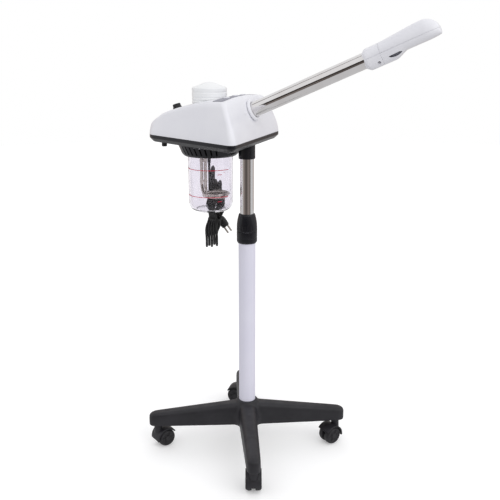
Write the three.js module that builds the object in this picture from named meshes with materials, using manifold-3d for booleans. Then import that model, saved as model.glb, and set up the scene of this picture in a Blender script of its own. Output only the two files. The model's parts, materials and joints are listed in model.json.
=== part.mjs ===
// Facial steamer on a four-castor stand.
// Millimetres, +Z up, +X along the steam arm. The origin is the centre of the
// object's box in plan, on the floor.

import * as THREE from 'three';
import { mergeVertices } from 'three/addons/utils/BufferGeometryUtils.js';
import Module from 'manifold-3d';

const wasm = await Module();
wasm.setup();

// ---------------------------------------------------------------- dimensions

const GAP = 0.3; // clearance between neighbouring pieces
const MAST_X = -87.6; // mast axis from the origin

// Stand
const ARM_COUNT = 4;
const ARM_TURN = 24.6; // degrees from +X to the first foot arm
const BASE_UNDER = 60;
const BASE_TOP = 124;
const FOOT_REACH = 246;
const FOOT_TIP_TOP = 92;
const CASTER_REACH = 224;
const CASTER_TURNS = [236, 186, 56, 111]; // trailing directions, in degrees

// Castors
const WHEEL_R = 22.5;
const WHEEL_SEGMENTS = 16;
const WHEEL_W = 14.5;
const WHEEL_Z = WHEEL_R * Math.cos(Math.PI / WHEEL_SEGMENTS);
const TRAIL = 17;
const WEB_W = 8;
const AXLE_R = 3;
const STEM_R = 5.5;

// Column
const COLUMN_R = 20;
const COLUMN_BORE_R = 18.4;
const COLUMN_BOTTOM = 68.3;
const COLUMN_TOP = 562;
const COLLAR_R = 24.2;
const COLLAR_BOTTOM = 528;
const NUT_BOTTOM = 556;
const NUT_TOP = 598;
const MAST_R = 16;
const MAST_BORE_R = 14.6;
const MAST_BOTTOM = 300;
const MAST_TOP = 780;
const SOCKET_R = 19.3;
const SPIGOT_R = 17.6; // socket inside the head
const SOCKET_BOTTOM = 726;

// Head
const HEAD_FRONT_X = 29; // from the mast axis
const HEAD_REAR_X = -242;
const HEAD_FRONT_HALF = 156; // half width, before the corners are rounded
const HEAD_REAR_HALF = 28;
const FRONT_CORNER_R = 13;
const REAR_CORNER_R = 44;
const TRAY_BOTTOM = 758;
const SEAM_Z = 774;
const ROOF_X = -10; // where the roof's height is given
const ROOF_Z = 867;
const ROOF_RISE = 0.088; // slope there, growing by ROOF_BEND each way
const ROOF_BEND = 0.00074;
const ROOF_CROWN = 0.00049; // fall to each side
const NOSE_X = -183; // the roof falls faster behind here
const FRONT_LEAN = 30;
const SIDE_LEAN = 12;
const REAR_LEAN = 3;
const WALL = 3;
const FUSE_X = -192;
const FUSE_Y = -34;

// Controls
const PANEL_X = -29;
const PANEL_HALF = 16; // along X
const PANEL_FRONT_HALF = 108; // along Y
const PANEL_REAR_HALF = 93;
const BUTTON_NAMES = ['power', 'steam', 'ozone'];
const BUTTON_YS = [-48, 0, 48];
const BUTTON_R = 7;
const KNOB_X = -172;
const KNOB_R = 11;
const SPINDLE_R = 3;

// Water side
const JAR_X = -91; // jar, cap and bowl axis from the mast axis
const JAR_R = 52.7;
const JAR_FOOT_R = 51.7;
const JAR_BOTTOM = 600;
const JAR_TOP = 750;
const BOWL_BOTTOM = 730;
const BOWL_TOP_R = 75;
const BOWL_FOOT_R = 62;
const BOWL_SLOTS = 8; // on each side
const BOWL_SLOT_STEP = 10; // degrees
const CAP_R = 40;
const CAP_BOTTOM = 842;
const CAP_SHOULDER = 882;
const CAP_TOP = 895.6;
const DUCT_Z = 806;
const DUCT_R = 12;
const HEATER_R = 2.8;
const LEG_XS = [-21, -12]; // heating element's legs, from the jar axis

// Steam arm
const ARM_ROOT = new THREE.Vector3(10.2, 0, 833.3); // from the mast axis at the floor
const ARM_RISE = 23.8; // degrees above level
const ARM_R = 17;
const ARM_IN = -40; // along the arm, from its root
const ARM_OUT = 300;
const COLLAR_IN = 271;
const COLLAR_OUT = 315;
const NOZZLE_TIP = 440;
const NOSE_LENGTH = 28; // rounded end of the nozzle

// Mains lead
const VIEW_TURN = 21; // degrees from +X to the flat of the hank
const CORD_R = 3;
const EXIT_REACH = 60.5; // lead from the jar axis
const EXIT_TURN = 96; // degrees from the flat of the hank
const LEAD_EXIT = new THREE.Vector2(EXIT_REACH, 0)
  .rotateAround(new THREE.Vector2(), THREE.MathUtils.degToRad(EXIT_TURN + VIEW_TURN))
  .add(new THREE.Vector2(JAR_X, 0));
const HANK_BOTTOM = 484;
const HANK_TOP = 694;
const HANK_LEFT = -16; // from the lead's exit
const HANK_RIGHT = 30;
const HANK_FRONT = -3.4;
const HANK_BACK = 39.4;
const PLUG_TURN = 146; // degrees from straight up
const PLUG_PLACE = new THREE.Vector3(21, 50.5, 556); // from the lead's exit

// Finishes
const finish = (color, roughness, metalness = 0) => ({ color, roughness, metalness });
const CASING_WHITE = finish(0xeceaf0, 0.35);
const CAP_WHITE = finish(0xf2f3f4, 0.45);
const COLUMN_WHITE = finish(0xd9d8e6, 0.4);
const TRAY_BLACK = finish(0x23232a, 0.35);
const BASE_BLACK = finish(0x2b2a31, 0.6);
const RUBBER_BLACK = finish(0x161619, 0.8);
const CHROME = finish(0xc9c4be, 0.12, 1);
const STEEL = finish(0xa8a6a2, 0.3, 1);
const PANEL_GREY = finish(0xa5a4b0, 0.4);
const CLEAR = { color: 0xe8eaf2, roughness: 0.05, metalness: 0, transparent: true, opacity: 0.35 };
const SILICONE = finish(0xd8d4cc, 0.7);
const BOARD_GREEN = finish(0x2f6b3f, 0.6);

// ------------------------------------------------------------------- helpers

const degrees = THREE.MathUtils.degToRad;

/** Joins shared corners and makes the faces point outwards. */
function closed(geometry) {
  geometry.deleteAttribute('normal');
  geometry.deleteAttribute('uv');
  const merged = mergeVertices(geometry, 1e-4);
  const index = Array.from(merged.index.array);
  const corner = (i) => new THREE.Vector3().fromBufferAttribute(merged.attributes.position, i);
  const kept = [];
  let volume = 0;
  for (let i = 0; i < index.length; i += 3) {
    const [a, b, c] = index.slice(i, i + 3);
    if (a === b || b === c || c === a) continue;
    kept.push(a, b, c);
    volume += corner(a).dot(corner(b).cross(corner(c)));
  }
  if (volume < 0) kept.reverse();
  merged.setIndex(kept);
  return merged;
}

function toSolid(geometry) {
  const shell = closed(geometry.clone());
  const vertProperties = new Float32Array(shell.attributes.position.array);
  const triVerts = new Uint32Array(shell.index.array);
  return new wasm.Manifold(new wasm.Mesh({ numProp: 3, vertProperties, triVerts }));
}

function toGeometry(solid) {
  const { vertProperties, triVerts } = solid.getMesh();
  const geometry = new THREE.BufferGeometry();
  geometry.setAttribute('position', new THREE.BufferAttribute(vertProperties, 3));
  geometry.setIndex(new THREE.BufferAttribute(triVerts, 1));
  return geometry;
}

function cut(geometry, ...tools) {
  return toGeometry(tools.reduce((left, tool) => left.subtract(toSolid(tool)), toSolid(geometry)));
}

function join(geometry, ...others) {
  return toGeometry(others.reduce((sum, other) => sum.add(toSolid(other)), toSolid(geometry)));
}

function common(geometry, other) {
  return toGeometry(toSolid(geometry).intersect(toSolid(other)));
}

/** Turned shape about Z. The profile is [radius, height] pairs, starting and ending on the axis. */
function turned(profile, segments = 24) {
  const points = profile.map(([r, z]) => new THREE.Vector2(r, z));
  return closed(new THREE.LatheGeometry(points, segments).rotateX(Math.PI / 2));
}

/** Turned ring about Z, whose profile closes on itself. */
function ring(profile, segments = 24) {
  return turned([...profile, profile[0]], segments);
}

function tube(outer, inner, bottom, top, segments = 24) {
  return ring([[inner, bottom], [outer, bottom], [outer, top], [inner, top]], segments);
}

function rod(radius, bottom, top, segments = 24) {
  return turned([[0, bottom], [radius, bottom], [radius, top], [0, top]], segments);
}

function block(sizeX, sizeY, sizeZ, x = 0, y = 0, z = 0) {
  return new THREE.BoxGeometry(sizeX, sizeY, sizeZ).translate(x, y, z);
}

/** Turns a shape made about Z so that its axis lies along X. */
const alongX = (geometry) => geometry.rotateY(Math.PI / 2);

/** Skin through rings of [x, y, z] points, closed with a fan at each end. */
function loft(rings) {
  const count = rings[0].length;
  const middle = (points) => [0, 1, 2].map((k) => points.reduce((s, p) => s + p[k], 0) / count);
  const points = [...rings.flat(), middle(rings[0]), middle(rings.at(-1))];
  const startCentre = points.length - 2;
  const endCentre = points.length - 1;
  const lastRing = (rings.length - 1) * count;
  const faces = [];
  for (let i = 0; i < count; i++) {
    const next = (i + 1) % count;
    faces.push(startCentre, next, i, endCentre, lastRing + i, lastRing + next);
    for (let row = 0; row < lastRing; row += count) {
      faces.push(row + i, row + next, row + count + i);
      faces.push(row + next, row + count + next, row + count + i);
    }
  }
  const geometry = new THREE.BufferGeometry();
  geometry.setAttribute('position', new THREE.Float32BufferAttribute(points.flat(), 3));
  geometry.setIndex(faces);
  return closed(geometry);
}

/** Polygon with each corner { x, y, r } replaced by an arc. */
function roundedPolygon(corners, steps) {
  return corners.flatMap((corner, i) => {
    const before = corners.at(i - 1);
    const after = corners[(i + 1) % corners.length];
    const here = new THREE.Vector2(corner.x, corner.y);
    const back = new THREE.Vector2(before.x, before.y).sub(here).normalize();
    const ahead = new THREE.Vector2(after.x, after.y).sub(here).normalize();
    const half = Math.acos(back.dot(ahead)) / 2;
    const centre = back.clone().add(ahead).setLength(corner.r / Math.sin(half)).add(here);
    const reach = corner.r / Math.tan(half);
    const start = here.clone().addScaledVector(back, reach).sub(centre).angle();
    const end = here.clone().addScaledVector(ahead, reach).sub(centre).angle();
    const sweep = Math.atan2(Math.sin(end - start), Math.cos(end - start));
    return Array.from({ length: steps + 1 }, (_, k) => {
      const angle = start + (sweep * k) / steps;
      return [centre.x + corner.r * Math.cos(angle), centre.y + corner.r * Math.sin(angle)];
    });
  });
}

/** Round bar along a smooth path. */
function bar(path, radius, steps, sides) {
  const shape = new THREE.Shape();
  for (let i = 0; i < sides; i++) {
    const angle = (2 * Math.PI * i) / sides;
    const move = i === 0 ? 'moveTo' : 'lineTo';
    shape[move](radius * Math.cos(angle), radius * Math.sin(angle));
  }
  return new THREE.ExtrudeGeometry(shape, { steps, extrudePath: path, bevelEnabled: false });
}

function piece(name, geometry, look) {
  const mesh = new THREE.Mesh(closed(geometry), new THREE.MeshStandardMaterial(look));
  mesh.name = name;
  return mesh;
}

function assembly(...pieces) {
  const group = new THREE.Group();
  group.add(...pieces);
  return group;
}

// --------------------------------------------------------------------- stand

/** One foot arm along +X, tapered, with a domed top. skin moves every face inwards. */
function footArm(skin, from, to) {
  const stations = [[from, 1], [(from + to) / 2, 1], [to - 16, 1], [to - 5, 0.85], [to, 0.5]];
  return loft(stations.map(([x, round]) => {
    const share = x / FOOT_REACH;
    const half = (22 - 6 * share) * round - skin;
    const top = BASE_TOP - 4 - (BASE_TOP - 4 - FOOT_TIP_TOP) * share - 6 * (1 - round) - skin;
    const low = skin > 0 ? BASE_UNDER - 2 : BASE_UNDER;
    const shoulder = BASE_UNDER + (top - BASE_UNDER) * 0.62;
    const crown = BASE_UNDER + (top - BASE_UNDER) * 0.9;
    return [
      [x, -half, low], [x, half, low], [x, half * 0.98, shoulder], [x, half * 0.75, crown],
      [x, half * 0.3, top], [x, -half * 0.3, top], [x, -half * 0.75, crown], [x, -half * 0.98, shoulder],
    ];
  }));
}

function starBase() {
  const hub = turned([
    [0, BASE_UNDER], [34, BASE_UNDER], [36, 90], [31, 112], [26, BASE_TOP], [0, BASE_TOP],
  ]);
  let body = hub;
  const tools = [rod(COLUMN_R + GAP, COLUMN_BOTTOM - GAP, BASE_TOP + 5), rod(4.4, BASE_UNDER - 5, 80, 12)];
  for (let i = 0; i < ARM_COUNT; i++) {
    const angle = degrees(ARM_TURN + (360 / ARM_COUNT) * i);
    body = join(body, footArm(0, 4, FOOT_REACH).rotateZ(angle));
    tools.push(footArm(4, 42, CASTER_REACH - 12).rotateZ(angle));
    const socket = rod(STEM_R + GAP, BASE_UNDER - 5, BASE_UNDER + 27, 16);
    tools.push(socket.translate(CASTER_REACH, 0, 0).rotateZ(angle));
  }
  return piece('star_base', cut(body, ...tools), BASE_BLACK);
}

/** Hood: a web between the wheels, a cover over them and a boss under the stem. */
function casterHood(number) {
  const coverR = WHEEL_R + 4.6;
  const width = 2 * WHEEL_W + WEB_W;
  const cover = new THREE.Shape();
  cover.absarc(0, 0, coverR, degrees(35), degrees(190), false);
  cover.absarc(0, 0, coverR - 3.2, degrees(190), degrees(35), true);
  cover.closePath();
  const extrude = (shape, depth) => {
    const settings = { depth, bevelEnabled: false, curveSegments: 7 };
    const plate = new THREE.ExtrudeGeometry(shape, settings);
    return plate.rotateX(Math.PI / 2).translate(TRAIL, depth / 2, WHEEL_Z);
  };
  const web = new THREE.Shape();
  web.absarc(0, 0, coverR - 1, degrees(35), degrees(190), false);
  web.absarc(0, 0, 9, degrees(235), degrees(360), false);
  web.closePath();
  const boss = rod(9.5, WHEEL_Z + 17, BASE_UNDER - GAP, 12);
  const hood = join(extrude(cover, width), extrude(web, WEB_W - 2 * GAP), boss);
  const wheels = rod(WHEEL_R + 0.9, -width / 2 - 1, -WEB_W / 2 + GAP, WHEEL_SEGMENTS);
  const wheelRoom = [1, -1].map((side) => wheels.clone()
    .rotateX(side * Math.PI / 2)
    .translate(TRAIL, 0, WHEEL_Z));
  const axleRoom = rod(AXLE_R + GAP, -WEB_W, WEB_W, 12).rotateX(Math.PI / 2).translate(TRAIL, 0, WHEEL_Z);
  const stemRoom = rod(STEM_R + GAP, BASE_UNDER - 14, BASE_UNDER + 1, 16);
  return piece(`caster_hood_${number}`, cut(hood, ...wheelRoom, axleRoom, stemRoom), BASE_BLACK);
}

function wheel(name, side) {
  const rim = ring([
    [AXLE_R + GAP, 0], [WHEEL_R, 0], [WHEEL_R, 9.5], [19, WHEEL_W],
    [14, WHEEL_W], [12, 12.5], [AXLE_R + GAP, 12.5],
  ], WHEEL_SEGMENTS);
  rim.rotateZ(Math.PI / WHEEL_SEGMENTS);
  rim.rotateX(-side * Math.PI / 2);
  rim.translate(TRAIL, side * (WEB_W / 2), WHEEL_Z);
  return piece(name, rim, BASE_BLACK);
}

function caster(index) {
  const number = index + 1;
  const stem = rod(STEM_R, BASE_UNDER - 13.5, BASE_UNDER + 26, 16);
  const axle = rod(AXLE_R, -WEB_W / 2 - 12, WEB_W / 2 + 12, 12)
    .rotateX(Math.PI / 2)
    .translate(TRAIL, 0, WHEEL_Z);
  const group = assembly(
    casterHood(number),
    piece(`caster_stem_${number}`, stem, STEEL),
    piece(`caster_axle_${number}`, axle, STEEL),
    wheel(`wheel_${number}_left`, 1),
    wheel(`wheel_${number}_right`, -1),
  );
  const angle = degrees(ARM_TURN + (360 / ARM_COUNT) * index);
  group.position.set(CASTER_REACH * Math.cos(angle), CASTER_REACH * Math.sin(angle), 0);
  group.rotation.z = degrees(CASTER_TURNS[index]);
  return group;
}

// -------------------------------------------------------------------- column

function columnPieces() {
  const bolt = turned([
    [0, BASE_UNDER - 6], [8, BASE_UNDER - 6], [8, BASE_UNDER - GAP], [4, BASE_UNDER - GAP], [4, 92], [0, 92],
  ], 12);
  const collar = ring([
    [COLUMN_R + GAP, COLLAR_BOTTOM], [22.4, COLLAR_BOTTOM], [COLLAR_R, COLLAR_BOTTOM + 4],
    [COLLAR_R, NUT_BOTTOM - GAP], [COLUMN_R + GAP, NUT_BOTTOM - GAP],
  ]);
  const nut = ring([
    [COLUMN_R + GAP, NUT_BOTTOM], [COLLAR_R, NUT_BOTTOM], [23.6, 572], [22.2, 584], [18.6, NUT_TOP],
    [MAST_R + 0.6, NUT_TOP], [MAST_R + 0.6, 595], [COLUMN_R + GAP, 584],
  ]);
  const collet = ring([
    [MAST_R + GAP, 565], [19.8, 565], [19.8, 582], [17.6, 590], [MAST_R + GAP, 590],
  ]);
  const colletSlot = block(8, 3, 60, MAST_R + 2, 0, 578);
  const socket = turned([
    [0, MAST_TOP + GAP], [0, 784], [SPIGOT_R, 784], [SPIGOT_R, TRAY_BOTTOM - GAP],
    [SOCKET_R, TRAY_BOTTOM - GAP], [SOCKET_R, SOCKET_BOTTOM], [MAST_R + GAP, SOCKET_BOTTOM],
    [MAST_R + GAP, MAST_TOP + GAP], [0, MAST_TOP + GAP],
  ]);
  return [
    piece('column_bolt', bolt, STEEL),
    piece('outer_column', tube(COLUMN_R, COLUMN_BORE_R, COLUMN_BOTTOM, COLUMN_TOP), COLUMN_WHITE),
    piece('column_collar', collar, TRAY_BLACK),
    piece('twist_lock_nut', nut, TRAY_BLACK),
    piece('split_collet', cut(collet, colletSlot), SILICONE),
    piece('inner_column', tube(MAST_R, MAST_BORE_R, MAST_BOTTOM, MAST_TOP), CHROME),
    piece('slide_bush', tube(COLUMN_BORE_R - GAP, MAST_R + GAP, 302, 330), RUBBER_BLACK),
    piece('mast_socket', socket, TRAY_BLACK),
  ];
}

// ---------------------------------------------------------------------- head

/** Plan of the head, wide at the front, with its edges moved in by the given amounts. */
function headPlan(front, side, rear) {
  const slope = (HEAD_FRONT_HALF - HEAD_REAR_HALF) / (HEAD_FRONT_X - HEAD_REAR_X);
  const drop = side * Math.hypot(1, slope);
  const halfWidth = (x) => HEAD_REAR_HALF + (x - HEAD_REAR_X) * slope - drop;
  const frontX = HEAD_FRONT_X - front;
  const rearX = HEAD_REAR_X + rear;
  const rearR = Math.min(REAR_CORNER_R, halfWidth(rearX) * 1.55);
  const frontR = Math.max(FRONT_CORNER_R - side, 8);
  return roundedPolygon([
    { x: frontX, y: -halfWidth(frontX), r: frontR },
    { x: frontX, y: halfWidth(frontX), r: frontR },
    { x: rearX, y: halfWidth(rearX), r: rearR },
    { x: rearX, y: -halfWidth(rearX), r: rearR },
  ], 4);
}

/** Height of the roof, rising forwards and crowned from side to side. */
function roofHeight(x, y = 0) {
  const back = ROOF_X - x;
  const nose = Math.max(0, NOSE_X - x) / 56;
  return ROOF_Z - ROOF_RISE * back - ROOF_BEND * back ** 2 - 12 * nose ** 2 - ROOF_CROWN * y ** 2;
}

/** Angle of the roof above level, looking forwards. */
const roofSlope = (x) => Math.atan(ROOF_RISE + 2 * ROOF_BEND * (ROOF_X - x));

/** Outside of the casing, or the space inside it when skin is above zero. */
function casingSolid(skin) {
  const base = skin > 0 ? SEAM_Z - 2 : SEAM_Z + GAP;
  const walls = [[0, 0], [0.2, 0], [0.4, 0], [0.7, 0], [0.92, 1.2], [1, 6.5]];
  const rings = walls.map(([f, edge]) => {
    const lean = f - 0.85 * f * (1 - f) ** 2;
    const inset = skin + edge;
    const plan = headPlan(
      FRONT_LEAN * lean + inset, SIDE_LEAN * lean + inset, REAR_LEAN * lean + inset,
    );
    return plan.map(([x, y]) => [x, y, base + f * (roofHeight(x, y) - skin - base)]);
  });
  const centreX = -100;
  for (const share of [0.8, 0.5, 0.2]) {
    rings.push(rings[walls.length - 1].map(([x, y]) => {
      const across = centreX + (x - centreX) * share;
      return [across, y * share, roofHeight(across, y * share) - skin];
    }));
  }
  return loft(rings);
}

/** Places a shape made about Z, with its seat at z = 0, square to the roof at x, y. */
function onRoof(geometry, x, y = 0) {
  geometry.rotateX(-Math.atan(2 * ROOF_CROWN * y)).rotateY(-roofSlope(x));
  return geometry.translate(x, y, roofHeight(x, y));
}

/** Places a shape made along the arm, from its root. */
function onArm(geometry) {
  return geometry.rotateY(-degrees(ARM_RISE)).translate(ARM_ROOT.x, ARM_ROOT.y, ARM_ROOT.z);
}

/** Strip tapered and crowned like the roof, for the panel and its seat. */
function panelShape(inset, bottom, top) {
  const stations = [-1, -0.97, -0.75, -0.5, -0.25, 0, 0.25, 0.5, 0.75, 0.97, 1];
  return loft(stations.map((share) => {
    const half = PANEL_HALF - inset - (Math.abs(share) === 1 ? 3 : 0);
    const front = share * (PANEL_FRONT_HALF - inset);
    const rear = share * (PANEL_REAR_HALF - inset);
    const fall = (y) => ROOF_CROWN * y ** 2;
    return [
      [-half, rear, bottom - fall(rear)], [half, front, bottom - fall(front)],
      [half, front, top - fall(front)], [-half, rear, top - fall(rear)],
    ];
  }));
}

function casing() {
  const hollow = casingSolid(WALL);
  const capHole = rod(CAP_R + 0.8, 800, 900, 32).translate(JAR_X, 0, 0);
  const armHole = onArm(alongX(rod(22, -40, 30)));
  const recess = onRoof(panelShape(-GAP, -1.7, 20), PANEL_X);
  const panelWindow = onRoof(panelShape(4, -20, 20), PANEL_X);
  const knobHole = onRoof(rod(SPINDLE_R + 0.6, -20, 20, 12), KNOB_X);
  const shell = cut(casingSolid(0), hollow, capHole, armHole, recess, panelWindow, knobHole);
  return piece('upper_casing', shell, CASING_WHITE);
}

function tray() {
  const edge = [[8, TRAY_BOTTOM], [1.2, TRAY_BOTTOM + 7], [0, TRAY_BOTTOM + 9], [0, SEAM_Z]];
  const layer = ([inset, z]) => headPlan(inset, inset, inset).map(([x, y]) => [x, y, z]);
  const inside = [[11, TRAY_BOTTOM + WALL], [4.2, TRAY_BOTTOM + 9], [3, SEAM_Z + 1]];
  const body = cut(
    loft(edge.map(layer)),
    loft(inside.map(layer)),
    rod(60, 700, 800, 32).translate(JAR_X, 0, 0),
    rod(SPIGOT_R + GAP, 700, 800),
    rod(4.4, 700, 800, 12).translate(FUSE_X, FUSE_Y, 0),
  );
  return piece('lower_tray', body, TRAY_BLACK);
}

function fuseHolder() {
  const cap = turned([
    [0, TRAY_BOTTOM - 9], [5.5, TRAY_BOTTOM - 9], [6.3, TRAY_BOTTOM - 7.5], [6.3, TRAY_BOTTOM - GAP],
    [4, TRAY_BOTTOM - GAP], [4, TRAY_BOTTOM + 12], [0, TRAY_BOTTOM + 12],
  ], 16);
  return piece('fuse_holder_cap', cap.translate(FUSE_X, FUSE_Y, 0), RUBBER_BLACK);
}

function bowl() {
  const top = TRAY_BOTTOM - GAP;
  const body = ring([
    [54.2, BOWL_BOTTOM], [BOWL_FOOT_R, BOWL_BOTTOM], [66, 736], [BOWL_TOP_R, top],
    [BOWL_TOP_R - WALL, top], [63, 737.5], [60, BOWL_BOTTOM + WALL], [54.2, BOWL_BOTTOM + WALL],
  ], 28).translate(JAR_X, 0, 0);
  const slots = [];
  for (const side of [-90, 90]) {
    for (let i = 0; i < BOWL_SLOTS; i++) {
      const angle = degrees(side + (i - (BOWL_SLOTS - 1) / 2) * BOWL_SLOT_STEP);
      const slot = block(14, 4, 17, 68, 0, 744).rotateZ(angle);
      slots.push(slot.translate(JAR_X, 0, 0));
    }
  }
  const exit = rod(4.5 + GAP, 700, 745, 12).translate(LEAD_EXIT.x, LEAD_EXIT.y, 0);
  return piece('vent_bowl', cut(body, ...slots, exit, rod(SOCKET_R + 0.5, 700, 760)), TRAY_BLACK);
}

/** Turns a shape made about the jar axis, its X along the flat of the hank. */
const onJar = (geometry) => geometry.rotateZ(degrees(VIEW_TURN)).translate(JAR_X, 0, 0);

function jar() {
  const profile = [
    [0, JAR_BOTTOM], [36, JAR_BOTTOM], [45.5, 604], [JAR_FOOT_R, 616], [JAR_R, JAR_TOP],
    [JAR_R - WALL, JAR_TOP], [JAR_FOOT_R - WALL, 617], [44, 607],
    [36, JAR_BOTTOM + WALL], [0, JAR_BOTTOM + WALL],
  ];
  return piece('water_jar', turned(profile, 32).translate(JAR_X, 0, 0), CLEAR);
}

/** Heating element: down one leg, round a flat two-turn coil, and up the other leg. */
function heater() {
  const points = [];
  const turns = 2;
  const steps = 20;
  const centre = 11;
  for (const z of [776, 735, 690, 660]) points.push(new THREE.Vector3(LEG_XS[0], 0, z));
  for (let i = 1; i < steps; i++) {
    const share = i / steps;
    const angle = Math.PI + 2 * Math.PI * turns * share;
    const radius = 32 - 8 * share;
    const across = centre + radius * Math.cos(angle);
    points.push(new THREE.Vector3(across, radius * Math.sin(angle), 642 - 12 * share));
  }
  for (const z of [650, 690, 735, 776]) points.push(new THREE.Vector3(LEG_XS[1], 0, z));
  const path = new THREE.CatmullRomCurve3(points, false, 'centripetal');
  return piece('heating_element', onJar(bar(path, HEATER_R, 56, 6)), STEEL);
}

function waterPieces() {
  const atJar = (geometry) => geometry.translate(JAR_X, 0, 0);
  const lid = turned([
    [0, 753.6], [57, 753.6], [57, TRAY_BOTTOM + WALL + GAP], [65, TRAY_BOTTOM + WALL + GAP],
    [65, 763.8], [54.5, 763.8], [54.5, 756], [0, 756],
  ], 32);
  const steamHole = rod(8, 740, 780, 12).translate(14, 0, 0);
  const legHoles = LEG_XS.map((x) => {
    const hole = rod(HEATER_R + 0.6, 740, 780, 12).translate(x, 0, 0);
    return hole.rotateZ(degrees(VIEW_TURN));
  });
  const ductHole = rod(DUCT_R + GAP, 0, 60, 16).rotateY(Math.PI / 2).translate(0, 0, DUCT_Z);
  const cap = turned([
    [0, CAP_SHOULDER - 2], [36.8, CAP_SHOULDER - 2], [36.8, CAP_BOTTOM], [CAP_R, CAP_BOTTOM],
    [CAP_R, CAP_SHOULDER], [38.4, 884.4], [32, 886], [24, 889], [16, 892.6], [8, 895], [0, CAP_TOP],
  ], 32);
  return [
    piece('boiler_lid', atJar(cut(lid, steamHole, ...legHoles)), STEEL),
    piece('steam_chamber', atJar(cut(tube(33, 30, 756.3, 835.7), ductHole)), SILICONE),
    piece('filler_neck', atJar(ring([
      [26, 836], [36, 836], [36, 839], [33, 839], [33, 868], [26, 868],
    ])), CASING_WHITE),
    piece('cap_seal', atJar(tube(33, 26, 868.3, 871.3)), SILICONE),
    piece('filler_cap', atJar(cap), CAP_WHITE),
    piece('jar_gasket', atJar(tube(52.4, 47, JAR_TOP + GAP, 753.3)), SILICONE),
    piece('jar_lock_ring', atJar(ring([
      [JAR_R + 0.5, BOWL_BOTTOM + WALL + GAP], [55.7, BOWL_BOTTOM + WALL + GAP], [55.7, 749],
      [JAR_R + 0.5, 749],
    ], 32)), TRAY_BLACK),
  ];
}

function duct() {
  const path = new THREE.CatmullRomCurve3([
    new THREE.Vector3(JAR_X + 31, 0, DUCT_Z), new THREE.Vector3(JAR_X + 42, 0, DUCT_Z),
    new THREE.Vector3(-38, 0, 811.5), new THREE.Vector3(-29, 0, 815.5),
  ]);
  const section = new THREE.Shape();
  section.absarc(0, 0, DUCT_R, 0, 2 * Math.PI, false);
  const bore = new THREE.Path();
  bore.absarc(0, 0, DUCT_R - 2, 0, 2 * Math.PI, true);
  section.holes.push(bore);
  const settings = { steps: 6, extrudePath: path, bevelEnabled: false, curveSegments: 8 };
  return piece('steam_duct', new THREE.ExtrudeGeometry(section, settings), SILICONE);
}

function controls() {
  const holeAt = (y) => rod(BUTTON_R + 0.4, -10, 10, 16).translate(0, y, -ROOF_CROWN * y ** 2);
  const panel = cut(panelShape(0, -1.4, 0.6), ...BUTTON_YS.map(holeAt));
  const buttons = BUTTON_YS.map((y, i) => {
    const shape = turned([
      [0, -5], [BUTTON_R, -5], [BUTTON_R, 1.9], [BUTTON_R - 0.8, 2.6], [0, 2.6],
    ], 16);
    return piece(`${BUTTON_NAMES[i]}_button`, onRoof(shape, PANEL_X, y), CASING_WHITE);
  });
  const knob = turned([
    [0, -8], [SPINDLE_R, -8], [SPINDLE_R, 0.5], [KNOB_R, 0.5], [KNOB_R, 3], [9.6, 3.6], [9, 10.5],
    [8, 11.5], [0, 11.5],
  ]);
  return [
    piece('control_panel', onRoof(panel, PANEL_X), PANEL_GREY),
    ...buttons,
    piece('circuit_board', onRoof(block(22, 150, 1.6, 0, 0, -12), PANEL_X), BOARD_GREEN),
    piece('timer_knob', onRoof(knob, KNOB_X), RUBBER_BLACK),
  ];
}

// ----------------------------------------------------------------- steam arm

/** Nozzle cross-section at x: half width, rise above and drop below the parting line. */
function nozzleSection(x) {
  const start = x - COLLAR_IN;
  const mouth = Math.sqrt(Math.min(1, (start + 4) / 18));
  const past = Math.max(0, 1 - (NOZZLE_TIP - x) / NOSE_LENGTH);
  const nose = Math.sqrt(1 - past ** 1.6);
  const swell = THREE.MathUtils.smoothstep(x, 300, 410);
  const bulge = 1 - THREE.MathUtils.smoothstep(x, 338, 368);
  return {
    half: (22 + 5 * swell) * mouth * (0.55 + 0.45 * nose),
    rise: (23 + 6.5 * swell) * mouth * (0.1 + 0.9 * nose),
    drop: (15 + 10 * bulge) * mouth * (0.8 + 0.2 * nose),
  };
}

function nozzleBody(from, to, stations, skin) {
  const sides = 16;
  return loft(Array.from({ length: stations + 1 }, (_, k) => {
    const x = from + (to - from) * (1 - (1 - k / stations) ** 1.6);
    const { half, rise, drop } = nozzleSection(x);
    return Array.from({ length: sides }, (_, i) => {
      const angle = (2 * Math.PI * (i + 0.5)) / sides;
      const square = (value) => Math.sign(value) * Math.abs(value) ** 0.75;
      const height = Math.sin(angle) > 0 ? rise : drop;
      return [x, (half - skin) * square(Math.cos(angle)), (height - skin) * square(Math.sin(angle))];
    });
  }));
}

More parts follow.
